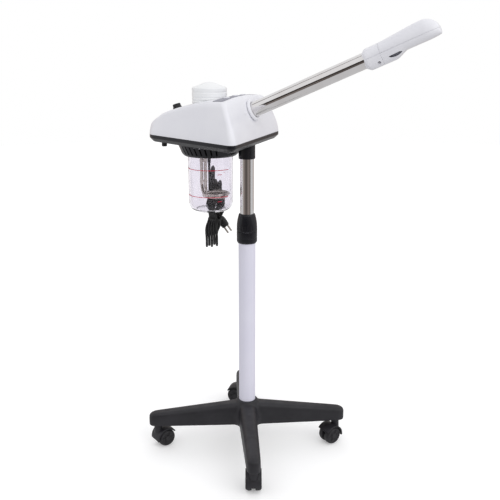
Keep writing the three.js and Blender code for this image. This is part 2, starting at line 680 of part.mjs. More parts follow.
function armPieces() {
  const bezel = ring([
    [ARM_R + 0.4, -9], [21.5, -9], [21.5, 3.4], [25, 3.4], [25, 7], [23, 9.6], [ARM_R + 0.4, 9.6],
  ], 32);
  const bore = alongX(rod(ARM_R + 0.4, COLLAR_IN - 5, ARM_OUT + GAP));
  const throat = alongX(rod(13, ARM_OUT, COLLAR_OUT + 5));
  const screwTurn = degrees(-45);
  const radial = (geometry) => geometry.rotateX(Math.PI).rotateX(screwTurn).translate(307, 0, 0);
  const screwRoom = radial(turned([[0, 14], [2.3, 14], [2.3, 21], [3.6, 21], [3.6, 40], [0, 40]], 12));
  const screw = radial(turned([[0, 14.5], [2, 14.5], [2, 21.3], [3.2, 21.3], [3.2, 23.5], [0, 23.5]], 12));
  const collar = cut(nozzleBody(COLLAR_IN, COLLAR_OUT, 5, 0), bore, throat, screwRoom);
  const inside = nozzleBody(COLLAR_OUT - 1, NOZZLE_TIP - 4, 9, 2.6);
  const shell = cut(nozzleBody(COLLAR_OUT + GAP, NOZZLE_TIP, 9, 0), inside);
  const above = block(200, 100, 60, 380, 0, 30.15);
  const below = block(200, 100, 60, 380, 0, -30.15);
  const outletAt = (geometry) => geometry.rotateY(degrees(125)).translate(352, 0, -15);
  const outletHole = outletAt(rod(8.6, -12, 14, 20));
  const outlet = outletAt(tube(8, 6, -7, 6, 20));
  return [
    piece('arm_bezel', onArm(alongX(bezel)), CASING_WHITE),
    piece('arm_tube', onArm(alongX(tube(ARM_R, ARM_R - 1.2, ARM_IN, ARM_OUT, 32))), CHROME),
    piece('nozzle_collar', onArm(collar), CASING_WHITE),
    piece('collar_screw', onArm(screw), STEEL),
    piece('nozzle_upper_shell', onArm(common(shell, above)), CASING_WHITE),
    piece('nozzle_lower_shell', onArm(cut(common(shell, below), outletHole)), CASING_WHITE),
    piece('steam_outlet', onArm(outlet), RUBBER_BLACK),
  ];
}

// ---------------------------------------------------------------- mains lead

/** Places a shape at the lead's exit, its X along the flat of the hank. */
const onLead = (geometry) => geometry.rotateZ(degrees(VIEW_TURN)).translate(LEAD_EXIT.x, LEAD_EXIT.y, 0);

function leadPieces() {
  const gland = ring([
    [CORD_R + GAP, 700], [4.2, 700], [4.5, BOWL_BOTTOM - GAP], [4.5, 738], [CORD_R + GAP, 738],
  ], 12);
  const drop = new THREE.LineCurve3(new THREE.Vector3(0, 0, 736), new THREE.Vector3(0, 0, HANK_TOP + GAP));
  const endR = (HANK_RIGHT - HANK_LEFT) / 2;
  const outline = new THREE.Shape();
  outline.absarc(HANK_LEFT + endR, HANK_BOTTOM + endR, endR, Math.PI, 2 * Math.PI, false);
  outline.absarc(HANK_LEFT + endR, HANK_TOP - endR, endR, 0, Math.PI, false);
  outline.closePath();
  const settings = { depth: HANK_BACK - HANK_FRONT, bevelEnabled: false, curveSegments: 8 };
  const hank = new THREE.ExtrudeGeometry(outline, settings).rotateX(Math.PI / 2).translate(0, HANK_BACK, 0);
  const body = turned([
    [0, -14], [4, -14], [5, 0], [11, 4], [11, 22], [9, 30], [0, 30],
  ], 12).scale(1, 0.8, 1);
  const pins = [-1, 1].map((side) => rod(2.4, 29, 48, 8).translate(side * 5, 0, 0));
  const plug = join(body, ...pins).rotateY(degrees(PLUG_TURN)).translate(...PLUG_PLACE);
  return [
    piece('cord_gland', onLead(gland), RUBBER_BLACK),
    piece('cord_drop', onLead(bar(drop, CORD_R, 3, 8)), RUBBER_BLACK),
    piece('cord_hank', onLead(hank), RUBBER_BLACK),
    piece('mains_plug', onLead(plug), RUBBER_BLACK),
  ];
}

// ------------------------------------------------------------------ assembly

const group = new THREE.Group();
group.position.set(MAST_X, 0, 0);
group.add(
  starBase(),
  ...Array.from({ length: ARM_COUNT }, (_, index) => caster(index)),
  ...columnPieces(),
  casing(),
  tray(),
  fuseHolder(),
  bowl(),
  jar(),
  heater(),
  ...waterPieces(),
  duct(),
  ...controls(),
  ...armPieces(),
  ...leadPieces(),
);

export default group;
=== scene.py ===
"""Facial steamer on a four-castor stand: the visible model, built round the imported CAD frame."""
import json
import math

import bmesh
import bpy
from mathutils import Matrix, Vector

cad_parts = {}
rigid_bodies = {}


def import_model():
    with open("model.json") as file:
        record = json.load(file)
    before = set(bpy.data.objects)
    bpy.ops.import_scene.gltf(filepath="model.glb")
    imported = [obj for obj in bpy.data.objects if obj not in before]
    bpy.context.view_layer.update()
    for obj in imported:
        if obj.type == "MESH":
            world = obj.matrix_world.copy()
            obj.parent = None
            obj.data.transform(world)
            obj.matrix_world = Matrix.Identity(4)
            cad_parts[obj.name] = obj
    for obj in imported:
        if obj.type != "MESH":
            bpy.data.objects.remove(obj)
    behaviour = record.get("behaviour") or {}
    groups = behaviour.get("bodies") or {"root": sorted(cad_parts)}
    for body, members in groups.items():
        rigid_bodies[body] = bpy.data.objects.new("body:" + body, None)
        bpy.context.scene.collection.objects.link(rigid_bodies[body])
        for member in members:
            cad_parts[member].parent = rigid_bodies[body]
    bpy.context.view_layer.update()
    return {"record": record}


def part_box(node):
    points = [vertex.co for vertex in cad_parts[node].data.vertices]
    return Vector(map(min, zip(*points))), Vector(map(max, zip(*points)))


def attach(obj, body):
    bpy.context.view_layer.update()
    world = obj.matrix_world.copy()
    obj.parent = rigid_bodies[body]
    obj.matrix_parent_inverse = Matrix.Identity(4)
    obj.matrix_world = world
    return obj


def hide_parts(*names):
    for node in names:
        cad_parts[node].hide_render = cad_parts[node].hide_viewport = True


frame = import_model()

TURN = 2 * math.pi

# ---- places from the frame


def middle(node):
    low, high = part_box(node)
    return (low + high) / 2


def low_z(node):
    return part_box(node)[0].z


def high_z(node):
    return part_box(node)[1].z


MAST = Vector((middle("outer_column").x, 0, 0))
JAR = Vector((middle("water_jar").x, 0, 0))
VIEW_TURN = math.radians(21)  # from +X to the picture's left-to-right
CAMERA_FRAME = Matrix.Rotation(VIEW_TURN, 3, "Z")  # the camera's right, away and up

# ---- camera

CAMERA_BACK = 1.693  # from the mast axis
CAMERA_HEIGHT = 0.987
CAMERA_PITCH = math.radians(15.78)
CAMERA_YAW = math.radians(0.24)
CAMERA_LENS = 53.56


def make_camera():
    data = bpy.data.cameras.new("camera")
    data.lens = CAMERA_LENS
    data.sensor_width = 36
    camera = bpy.data.objects.new("camera", data)
    bpy.context.scene.collection.objects.link(camera)
    camera.location = MAST + CAMERA_FRAME @ Vector((0, -CAMERA_BACK, CAMERA_HEIGHT))
    camera.rotation_euler = (math.pi / 2 - CAMERA_PITCH, 0, VIEW_TURN - CAMERA_YAW)
    bpy.context.scene.camera = camera


make_camera()

# ---- mesh helpers


def finish_mesh(name, verts, faces, crease=38):
    """New object from points and faces, normals outwards, smooth but for its creases."""
    mesh = bpy.data.meshes.new(name)
    mesh.from_pydata([tuple(v) for v in verts], [], faces)
    work = bmesh.new()
    work.from_mesh(mesh)
    bmesh.ops.remove_doubles(work, verts=work.verts, dist=1e-7)
    bmesh.ops.recalc_face_normals(work, faces=work.faces)
    work.to_mesh(mesh)
    work.free()
    obj = bpy.data.objects.new(name, mesh)
    bpy.context.scene.collection.objects.link(obj)
    smooth(obj, crease)
    return obj


def smooth(obj, crease=38):
    obj.data.polygons.foreach_set("use_smooth", [True] * len(obj.data.polygons))
    obj.data.set_sharp_from_angle(angle=math.radians(crease))
    return obj


def settle(obj, crease=38):
    """Applies the modifiers to the mesh."""
    graph = bpy.context.evaluated_depsgraph_get()
    mesh = bpy.data.meshes.new_from_object(obj.evaluated_get(graph))
    obj.modifiers.clear()
    obj.data = mesh
    return smooth(obj, crease)


def combine(obj, others, operation, crease=38):
    """Joins the others to obj, or cuts them from it, and removes them."""
    for other in others:
        change = obj.modifiers.new("change", "BOOLEAN")
        change.operation = operation
        change.solver = "EXACT"
        change.object = other
    settle(obj, crease)
    for other in others:
        bpy.data.objects.remove(other)
    return obj


def carve(obj, *tools, crease=38):
    return combine(obj, tools, "DIFFERENCE", crease)


def weld(obj, *others, crease=38):
    return combine(obj, others, "UNION", crease)


def bevel(obj, width, segments=2, angle=35, crease=38):
    edge = obj.modifiers.new("edge", "BEVEL")
    edge.width = width
    edge.segments = segments
    edge.limit_method = "ANGLE"
    edge.angle_limit = math.radians(angle)
    return settle(obj, crease)


def move(x, y, z):
    return Matrix.Translation((x, y, z))


def turn(angle, axis):
    return Matrix.Rotation(angle, 4, axis)


def shift(obj, matrix):
    obj.data.transform(matrix)
    obj.data.update()
    return obj


def rounded(points, steps=5, loop=False):
    """Points (a, b) or (a, b, fillet): a fillet replaces its corner with a short curve."""
    out = []
    for i, point in enumerate(points):
        here = Vector(point[:2])
        fillet = point[2] if len(point) > 2 else 0
        if not fillet or (not loop and i in (0, len(points) - 1)):
            out.append(tuple(here))
            continue
        back = Vector(points[i - 1][:2]) - here
        ahead = Vector(points[(i + 1) % len(points)][:2]) - here
        start = here + back.normalized() * min(fillet, back.length * 0.48)
        end = here + ahead.normalized() * min(fillet, ahead.length * 0.48)
        for k in range(steps + 1):
            t = k / steps
            out.append(tuple(start * (1 - t) ** 2 + here * 2 * t * (1 - t) + end * t * t))
    return out


def revolve(name, profile, segments=72, ripple=None, crease=38):
    """Turns (radius, height) points about Z. Off the axis, the profile closes on itself."""
    on_axis = profile[0][0] < 1e-9
    verts = []
    rows = []
    for r, z in profile:
        if r < 1e-9:
            rows.append([len(verts)] * segments)
            verts.append((0, 0, z))
            continue
        rows.append(list(range(len(verts), len(verts) + segments)))
        for i in range(segments):
            angle = TURN * i / segments
            reach = r + (ripple(r, z, angle) if ripple else 0)
            verts.append((reach * math.cos(angle), reach * math.sin(angle), z))
    pairs = list(zip(rows, rows[1:]))
    if not on_axis:
        pairs.append((rows[-1], rows[0]))
    faces = []
    for low, high in pairs:
        for i in range(segments):
            j = (i + 1) % segments
            face = [low[i], low[j], high[j], high[i]]
            face = [v for k, v in enumerate(face) if v != face[k - 1]]
            if len(face) > 2:
                faces.append(face)
    return finish_mesh(name, verts, faces, crease)


def skin(name, rings, ends="fan", crease=38):
    """Skin through rings of equal length, closed with a fan at each end or back to its first ring."""
    count = len(rings[0])
    verts = [Vector(p) for ring in rings for p in ring]
    faces = []
    for row in range(len(rings) - 1):
        for i in range(count):
            j = (i + 1) % count
            k = row * count
            faces.append([k + i, k + j, k + count + j, k + count + i])
    if ends == "loop":
        last = (len(rings) - 1) * count
        faces += [[last + i, last + (i + 1) % count, (i + 1) % count, i] for i in range(count)]
        return finish_mesh(name, verts, faces, crease)
    for first in (0, (len(rings) - 1) * count):
        centre = sum((verts[first + i] for i in range(count)), Vector()) / count
        verts.append(centre)
        faces += [[first + i, first + (i + 1) % count, len(verts) - 1] for i in range(count)]
    return finish_mesh(name, verts, faces, crease)


def prism(name, outline, low, high):
    """Upright prism over an outline of (x, y) points."""
    return skin(name, [[(x, y, z) for x, y in outline] for z in (low, high)])


def cylinder(name, radius, low, high, segments=48):
    return revolve(name, [(0, low), (radius, low), (radius, high), (0, high)], segments)


def box(name, size, centre=(0, 0, 0)):
    half = Vector(size) / 2
    x, y, z = centre
    plan = [(x + a * half.x, y + b * half.y) for a, b in ((-1, -1), (1, -1), (1, 1), (-1, 1))]
    return prism(name, plan, z - half.z, z + half.z)


def smooth_path(points, per_span=8):
    """Even curve through the points (Catmull-Rom)."""
    points = [Vector(p) for p in points]
    padded = [points[0] * 2 - points[1], *points, points[-1] * 2 - points[-2]]
    out = []
    for a, b, c, d in zip(padded, padded[1:], padded[2:], padded[3:]):
        for k in range(per_span):
            t = k / per_span
            out.append(0.5 * (2 * b + (c - a) * t + (2 * a - 5 * b + 4 * c - d) * t ** 2
                              + (3 * b - a - 3 * c + d) * t ** 3))
    return out + [points[-1]]


def wire(name, path, radius, resolution=5):
    """Round bar along a path, as one curve."""
    data = bpy.data.curves.new(name, "CURVE")
    data.dimensions = "3D"
    data.bevel_depth = radius
    data.bevel_resolution = resolution
    data.use_fill_caps = True
    spline = data.splines.new("POLY")
    spline.points.add(len(path) - 1)
    for point, place in zip(spline.points, path):
        point.co = (*place, 1)
    spline.use_smooth = True
    obj = bpy.data.objects.new(name, data)
    bpy.context.scene.collection.objects.link(obj)
    return obj


# ---- materials


class Nodes:
    """Short way to add and join shader nodes."""

    def __init__(self, name):
        self.material = bpy.data.materials.new(name)
        self.material.use_nodes = True
        self.tree = self.material.node_tree
        self.shader = self.tree.nodes["Principled BSDF"]
        self.place = self.add("ShaderNodeTexCoord").outputs["Object"]

    def add(self, kind, **values):
        node = self.tree.nodes.new(kind)
        for key, value in values.items():
            setattr(node, key, value)
        return node

    def put(self, name, value):
        self.shader.inputs[name].default_value = value

    def join(self, source, target):
        self.tree.links.new(source, target)

    def noise(self, scale, detail=3.0, stretch=None):
        texture = self.add("ShaderNodeTexNoise")
        texture.inputs["Scale"].default_value = scale
        texture.inputs["Detail"].default_value = detail
        source = self.place
        if stretch:
            mapping = self.add("ShaderNodeMapping")
            mapping.inputs["Scale"].default_value = stretch
            self.join(source, mapping.inputs["Vector"])
            source = mapping.outputs["Vector"]
        self.join(source, texture.inputs["Vector"])
        return texture.outputs["Fac"]

    def spread(self, source, low, high):
        """Maps noise about its middle onto low..high."""
        ranged = self.add("ShaderNodeMapRange")
        ranged.inputs["From Min"].default_value = 0.3
        ranged.inputs["From Max"].default_value = 0.7
        ranged.inputs["To Min"].default_value = low
        ranged.inputs["To Max"].default_value = high
        self.join(source, ranged.inputs["Value"])
        return ranged.outputs["Result"]

    def tint(self, source, first, second):
        mix = self.add("ShaderNodeMix", data_type="RGBA")
        self.join(self.spread(source, 0, 1), mix.inputs["Factor"])
        mix.inputs["A"].default_value = (*first, 1)
        mix.inputs["B"].default_value = (*second, 1)
        self.join(mix.outputs["Result"], self.shader.inputs["Base Color"])

    def bumps(self, *layers):
        """Layers of (height, distance in metres), each on the last."""
        normal = None
        for height, distance in layers:
            bump = self.add("ShaderNodeBump")
            bump.inputs["Strength"].default_value = 1
            bump.inputs["Distance"].default_value = distance
            self.join(height, bump.inputs["Height"])
            if normal:
                self.join(normal, bump.inputs["Normal"])
            normal = bump.outputs["Normal"]
        self.join(normal, self.shader.inputs["Normal"])


def surface(name, first, second, roughness, grain, cloud=18, coat=0, coarse=None, specular=0.5):
    """Moulded or painted surface: two near colours in soft clouds, uneven gloss and a fine grain."""
    nodes = Nodes(name)
    nodes.tint(nodes.noise(cloud, 4), first, second)
    nodes.join(nodes.spread(nodes.noise(cloud * 3.1, 5), *roughness), nodes.shader.inputs["Roughness"])
    layers = [(nodes.noise(grain[0], 2), grain[1])]
    if coarse:
        layers.insert(0, (nodes.noise(coarse[0], 2), coarse[1]))
    nodes.bumps(*layers)
    nodes.put("Specular IOR Level", specular)
    nodes.put("Coat Weight", coat)
    nodes.put("Coat Roughness", 0.12)
    return nodes.material


def polished(name, first, second, roughness, stretch):
    """Drawn and polished metal, with faint streaks along its length."""
    nodes = Nodes(name)
    nodes.tint(nodes.noise(30, 3, stretch), first, second)
    nodes.join(nodes.spread(nodes.noise(160, 4, stretch), *roughness), nodes.shader.inputs["Roughness"])
    nodes.bumps((nodes.noise(700, 2, stretch), 0.000004))
    nodes.put("Metallic", 1)
    return nodes.material


def clear_plastic(name):
    nodes = Nodes(name)
    nodes.tint(nodes.noise(25, 3), (0.82, 0.80, 0.85), (0.87, 0.85, 0.89))
    nodes.join(nodes.spread(nodes.noise(60, 4), 0.02, 0.06), nodes.shader.inputs["Roughness"])
    nodes.bumps((nodes.noise(45, 2), 0.00008))
    nodes.put("Transmission Weight", 1)
    nodes.put("IOR", 1.3)
    return nodes.material


CASING = surface("casing_white", (0.80, 0.80, 0.85), (0.84, 0.84, 0.88), (0.28, 0.38), (1600, 0.000006),
                 coat=0.15)
CAP = surface("cap_white", (0.86, 0.87, 0.88), (0.90, 0.91, 0.91), (0.30, 0.42), (1500, 0.00002),
              coat=0.1)
COLUMN = surface("column_white", (0.70, 0.69, 0.80), (0.74, 0.73, 0.83), (0.34, 0.46), (420, 0.00006),
                 cloud=9)
TRAY = surface("tray_black", (0.006, 0.006, 0.009), (0.011, 0.011, 0.015), (0.24, 0.36), (1400, 0.00002),
               coat=0.05, specular=0.32)
NYLON = surface("base_black", (0.010, 0.0095, 0.013), (0.017, 0.016, 0.021), (0.42, 0.60), (900, 0.00008),
                coarse=(210, 0.00010))
TYRE = surface("tyre_black", (0.009, 0.009, 0.011), (0.016, 0.015, 0.018), (0.48, 0.66), (1100, 0.00007),
               cloud=40)
RUBBER = surface("soft_black", (0.005, 0.005, 0.006), (0.010, 0.010, 0.011), (0.42, 0.58), (1300, 0.00005),
                 cloud=60)
PANEL = surface("panel_grey", (0.24, 0.24, 0.29), (0.30, 0.30, 0.35), (0.42, 0.56), (1700, 0.00002))
SILICONE = surface("silicone", (0.62, 0.60, 0.56), (0.70, 0.68, 0.64), (0.5, 0.65), (700, 0.00004))
BOARD = surface("board", (0.03, 0.15, 0.06), (0.05, 0.20, 0.08), (0.35, 0.5), (500, 0.00005), cloud=90)
RED = surface("mark_red", (0.55, 0.02, 0.06), (0.66, 0.03, 0.08), (0.4, 0.5), (900, 0.00002), cloud=70)
CHROME = polished("chrome", (0.74, 0.72, 0.71), (0.80, 0.79, 0.79), (0.045, 0.08), (1, 1, 0.05))
STEEL = polished("steel", (0.46, 0.42, 0.38), (0.60, 0.56, 0.52), (0.20, 0.34), (1, 1, 0.3))
CLEAR = clear_plastic("jar_clear")

SLOTS = {
    "casing_white": CASING, "cap_white": CAP, "column_white": COLUMN, "tray_black": TRAY,
    "base_black": NYLON, "soft_black": RUBBER, "panel_grey": PANEL, "silicone": SILICONE,
    "board": BOARD, "chrome": CHROME, "steel": STEEL, "jar_clear": CLEAR,
}


def fit(obj, body, slot, replaced=(), material=None):
    """Gives a piece its material (the slot's own unless another is given), parents it to its body and hides
    the CAD nodes that it stands for.
    """
    obj.data.materials.clear()
    obj.data.materials.append(material or SLOTS[slot])
    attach(obj, body)
    if replaced:
        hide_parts(*([replaced] if isinstance(replaced, str) else replaced))
    return obj


for part in frame["record"]["subparts"]:
    shown = bpy.data.objects[part["node"]]
    for material_slot in shown.material_slots:
        material_slot.material = SLOTS[part["material_slot"]]

# ---- mains lead

CORD_D = 0.006
FOLD_R = 0.0198
HANK_DEPTH = 0.0205  # middle of the hank behind the lead's exit
STRAND_STEP = 0.0063
WAIST_Z = 0.557
WAIST_HALF = 0.0056
TURN_TOPS = (0.688, 0.655, 0.649, 0.653, 0.647)
TURN_FEET = (0.4880, 0.4910, 0.4880, 0.4935, 0.4900)
LEAD_TURNS = len(TURN_TOPS)
TAIL_START = 0.603
PLUG_AT = (0.021, 0.0505, 0.556)
PLUG_TILT = math.radians(146)
LEAD_EXIT = Vector((middle("cord_gland").x, middle("cord_gland").y, low_z("cord_gland")))
LEAD_FRAME = move(LEAD_EXIT.x, LEAD_EXIT.y, 0) @ turn(VIEW_TURN, "Z")


def smoothstep(x, low, high):
    t = min(1.0, max(0.0, (x - low) / (high - low)))
    return t * t * (3 - 2 * t)


def hank_point(across, step, z):
    """Place in the hank's loops: edge-on at the top and foot, and turned a little at the tie."""
    top = smoothstep(z, 0.562, 0.632)
    foot = 1 - smoothstep(z, 0.512, 0.582)
    twist = math.radians(28 + 48 * top + 65 * foot)
    middle_x = 0.014 + 0.003 * smoothstep(z, 0.580, 0.632) - 0.011 * foot
    return Vector((
        middle_x + across * math.cos(twist) - step * math.sin(twist),
        HANK_DEPTH + across * math.sin(twist) + step * math.cos(twist),
        z,
    ))


def hank_half(z):
    """Half width of a loop at height z, drawn in at the tie."""
    return FOLD_R - (FOLD_R - WAIST_HALF) * math.exp(-((z - WAIST_Z) / 0.0235) ** 2)


def heights(start, end):
    return [start + (end - start) * k / 15 for k in range(16)]


def hank_turn(number):
    """One turn: down the near side, round the foot, up the far side and over the top."""
    top = TURN_TOPS[number] - FOLD_R
    start = TURN_TOPS[max(0, number - 1)] - FOLD_R
    foot = TURN_FEET[number] + FOLD_R
    step = STRAND_STEP * ((LEAD_TURNS - 1) / 2 - number)
    points = [hank_point(-hank_half(z), step, z) for z in heights(start, foot)]
    for k in range(1, 12):
        angle = math.pi + math.pi * k / 12
        points.append(hank_point(FOLD_R * math.cos(angle), step, foot + FOLD_R * math.sin(angle)))
    rise = [hank_point(hank_half(z), step, z) for z in heights(foot, top)]
    if number == LEAD_TURNS - 1:
        return points + [point for point in rise if point.z < TAIL_START]
    points += rise
    for k in range(1, 12):
        angle = math.pi * k / 12
        over = step - STRAND_STEP * k / 12
        points.append(hank_point(FOLD_R * math.cos(angle), over, top + FOLD_R * math.sin(angle)))
    return points


def lead_route():
    start = [(0, 0, 0.736), (0, 0, 0.722), (0, 0, 0.708), (0, 0.0012, 0.694)]
    turns = [point for number in range(LEAD_TURNS) for point in hank_turn(number)]
    tail = [
        (0.0362, 0.0366, 0.6120), (0.0335, 0.0432, 0.6208), (0.0262, 0.0484, 0.6274),
        (0.0165, 0.0510, 0.6304), (0.0066, 0.0515, 0.6280), (-0.0010, 0.0515, 0.6208),
        (-0.0044, 0.0512, 0.6110), (-0.0034, 0.0510, 0.6000), (0.0012, 0.0508, 0.5888),
        (0.0070, 0.0505, 0.5780), (0.0134, 0.0505, 0.5673),
    ]
    return smooth_path(start + turns + tail, 4)


def make_plug():
    """Two-pin plug with a ribbed grip and a strain relief, along the lead's end."""
    def ribs(r, z, angle):
        return -0.0004 * (0.5 + 0.5 * math.cos(12 * angle)) if 0.006 < z < 0.018 else 0

    grip = revolve("mains_plug_body", rounded([
        (0, -0.014), (0.0040, -0.014, 0.001), (0.0050, 0.000, 0.002), (0.0092, 0.004, 0.003),
        (0.0108, 0.012, 0.003), (0.0106, 0.021, 0.001), (0.0100, 0.0225, 0.0006), (0.0106, 0.024, 0.001),
        (0.0092, 0.030, 0.0015), (0, 0.030),
    ]), 40, ribs)
    shift(grip, Matrix.Diagonal((1, 0.8, 1, 1)))
    pins = []
    for side in (-1, 1):
        pin = revolve(f"mains_plug_pin_{(side + 3) // 2}", rounded([
            (0, 0.0302), (0.0024, 0.0302), (0.0024, 0.0478, 0.0012), (0, 0.0478),
        ]), 24)
        pins.append(shift(pin, move(side * 0.005, 0, 0)))
    place = LEAD_FRAME @ Matrix.Translation(PLUG_AT) @ turn(PLUG_TILT, "Y")
    for obj in (grip, *pins):
        shift(obj, place)
    fit(grip, "head", "soft_black", "mains_plug")
    for pin in pins:
        fit(pin, "head", "steel")
    return [grip, *pins]


def make_tie():
    """Twisted wire tie round the hank's waist, with its two ends."""
    room = CORD_D / 2 + 0.0004
    across, deep = WAIST_HALF + room, STRAND_STEP * (LEAD_TURNS - 1) / 2 + room
    corners = [(-across, -deep, 0.004), (across, -deep, 0.004), (across, deep, 0.004), (-across, deep, 0.004)]
    inner = rounded(corners, 6, loop=True)
    outer = [Vector(point) * (1 + 0.0008 / Vector(point).length) for point in inner]
    rings = []
    for near, far in zip(inner, outer):
        sides = ((near, -0.002), (far, -0.002), (far, 0.002), (near, 0.002))
        rings.append([LEAD_FRAME @ hank_point(a, b, WAIST_Z) + Vector((0, 0, z)) for (a, b), z in sides])
    tie = skin("cord_tie", rings, "loop")
    ends = (
        (-0.002, -0.0012, 0), (-0.004, -0.0030, 0.003), (-0.008, -0.0035, -0.002), (-0.012, -0.0030, -0.010),
    )
    knot = wire("cord_tie_knot", smooth_path([
        LEAD_FRAME @ hank_point(a, b - deep, WAIST_Z) + Vector((0, 0, z)) for a, b, z in ends
    ], 6), 0.0009, 3)
    for obj in (tie, knot):
        fit(obj, "head", "soft_black")
    return [tie, knot]


def make_lead():
    path = [LEAD_FRAME @ point for point in lead_route()]
    cord = wire("mains_cord", path, CORD_D / 2, 4)
    fit(cord, "head", "soft_black", ["cord_drop", "cord_hank"])
    gland = revolve("cord_gland_sleeve", rounded([
        (0.0033, 0.700), (0.0040, 0.700, 0.0004), (0.0042, 0.712), (0.0036, 0.7128), (0.0036, 0.7142),
        (0.0043, 0.715), (0.0043, 0.7190), (0.0037, 0.7198), (0.0037, 0.7212), (0.0044, 0.722),
        (0.0044, 0.7297, 0.0003), (0.0044, 0.738), (0.0033, 0.738),
    ], loop=True), 32)
    shift(gland, LEAD_FRAME)
    fit(gland, "head", "soft_black", "cord_gland")
    make_plug()
    make_tie()


make_lead()

# ---- stand

BASE_UNDER = low_z("star_base")
ARM_TURN = math.radians(24.6)
ARMS = 4
FOOT_REACH = 0.246
CASTER_REACH = 0.224


def arm_turn(number):
    return turn(ARM_TURN + TURN * number / ARMS, "Z")


def foot_arm(skin_in, start, end, stations=14):
    """One foot arm along +X, tapered, domed on top and round at its tip."""
    rings = []
    for k in range(stations + 1):
        x = start + (end - start) * math.sin(k / stations * math.pi / 2)
        past = max(0.0, 1 - (end - x) / 0.018)
        tip = 0.25 + 0.75 * math.sqrt(max(0.0, 1 - past ** 2))
        half = (0.0222 - 0.0060 * x / FOOT_REACH) * tip - skin_in
        top = 0.120 - 0.028 * x / FOOT_REACH - 0.010 * (1 - tip) - skin_in
        low = BASE_UNDER - (0.002 if skin_in else 0)
        shoulder = BASE_UNDER + (top - BASE_UNDER) * 0.60
        ring = [(x, -half, low), (x, half, low)]
        for j in range(13):
            angle = math.pi * j / 12
            side = math.copysign(abs(math.cos(angle)) ** 0.62, math.cos(angle))
            ring.append((x, half * 0.985 * side, shoulder + (top - shoulder) * math.sin(angle) ** 0.72))
        rings.append(ring)
    return skin(f"arm_{start:.3f}", rings)


def hub_web():
    """Fillets between the foot arms, drawn in towards the column."""
    reach, radius = 0.046, 0.028
    outline = []
    for number in range(ARMS):
        for k in range(9):
            angle = -math.pi / 2 * (1 + k / 8)
            x, y = reach + radius * math.cos(angle), reach + radius * math.sin(angle)
            outline.append(arm_turn(number) @ Vector((x, y, 0)))
    layers = ((BASE_UNDER, 1.0), (0.088, 1.0), (0.101, 0.90), (0.110, 0.76), (0.117, 0.62))
    return skin("web", [[(p.x * share, p.y * share, z) for p in outline] for z, share in layers])


def make_base():
    hub = revolve("star_base_moulding", rounded([
        (0, BASE_UNDER), (0.0345, BASE_UNDER), (0.0375, 0.070, 0.006), (0.0370, 0.090, 0.010),
        (0.0315, 0.111, 0.012), (0.0262, 0.1195, 0.004), (0.0258, 0.1238, 0.0014), (0, 0.1238),
    ]), 96)
    arms = [shift(foot_arm(0, 0.004, FOOT_REACH - 0.001), arm_turn(number)) for number in range(ARMS)]
    weld(hub, *arms, hub_web())
    net = hub.modifiers.new("net", "REMESH")
    net.mode = "VOXEL"
    net.voxel_size = 0.0016
    blend_in = hub.modifiers.new("blend_in", "CORRECTIVE_SMOOTH")
    blend_in.iterations = 12
    blend_in.use_only_smooth = True
    settle(hub, 50)
    tools = [cylinder("column_room", 0.0202, 0.068, 0.13), cylinder("bolt_room", 0.0044, 0.05, 0.08, 24)]
    for number in range(ARMS):
        socket_at = arm_turn(number) @ move(CASTER_REACH, 0, 0)
        tools.append(shift(foot_arm(0.004, 0.042, CASTER_REACH - 0.012), arm_turn(number)))
        tools.append(shift(cylinder("socket", 0.0058, 0.055, 0.087, 32), socket_at))
    carve(hub, *tools, crease=42)
    shift(hub, Matrix.Translation(MAST))
    fit(hub, "stand", "base_black", "star_base")


def arc(radius, start, end, steps):
    return [
        (radius * math.cos(a), radius * math.sin(a))
        for a in (math.radians(start + (end - start) * k / steps) for k in range(steps + 1))
    ]


def upright(name, outline, half_width):
    """Plate over an outline in the X-Z plane, centred on y = 0."""
    return skin(name, [[(x, y, z) for x, z in outline] for y in (-half_width, half_width)])


def make_wheel(name, side):
    wheel = revolve(name, rounded([
        (0, 0.0137), (0.0033, 0.0137), (0.0033, 0.0004), (0.0212, 0.0004, 0.0008),
        (0.0220, 0.0016, 0.0010), (0.0220, 0.0090, 0.0016), (0.0205, 0.0122, 0.0012),
        (0.0188, 0.0143, 0.0006), (0.0162, 0.0143, 0.0008), (0.0150, 0.0126, 0.0010),
        (0.0075, 0.0118, 0.0008), (0.0062, 0.0147, 0.0010), (0, 0.0147),
    ]), 64)
    ribs = []
    for k in range(6):
        rib = box("rib", (0.0080, 0.0014, 0.0040), (0.0112, 0, 0.0116))
        ribs.append(shift(rib, turn(TURN * k / 6, "Z")))
    weld(wheel, *ribs)
    bevel(wheel, 0.0003, 2, 40)
    beside = move(0, side * 0.004, 0)
    return shift(wheel, beside @ turn(-side * math.pi / 2, "X"))


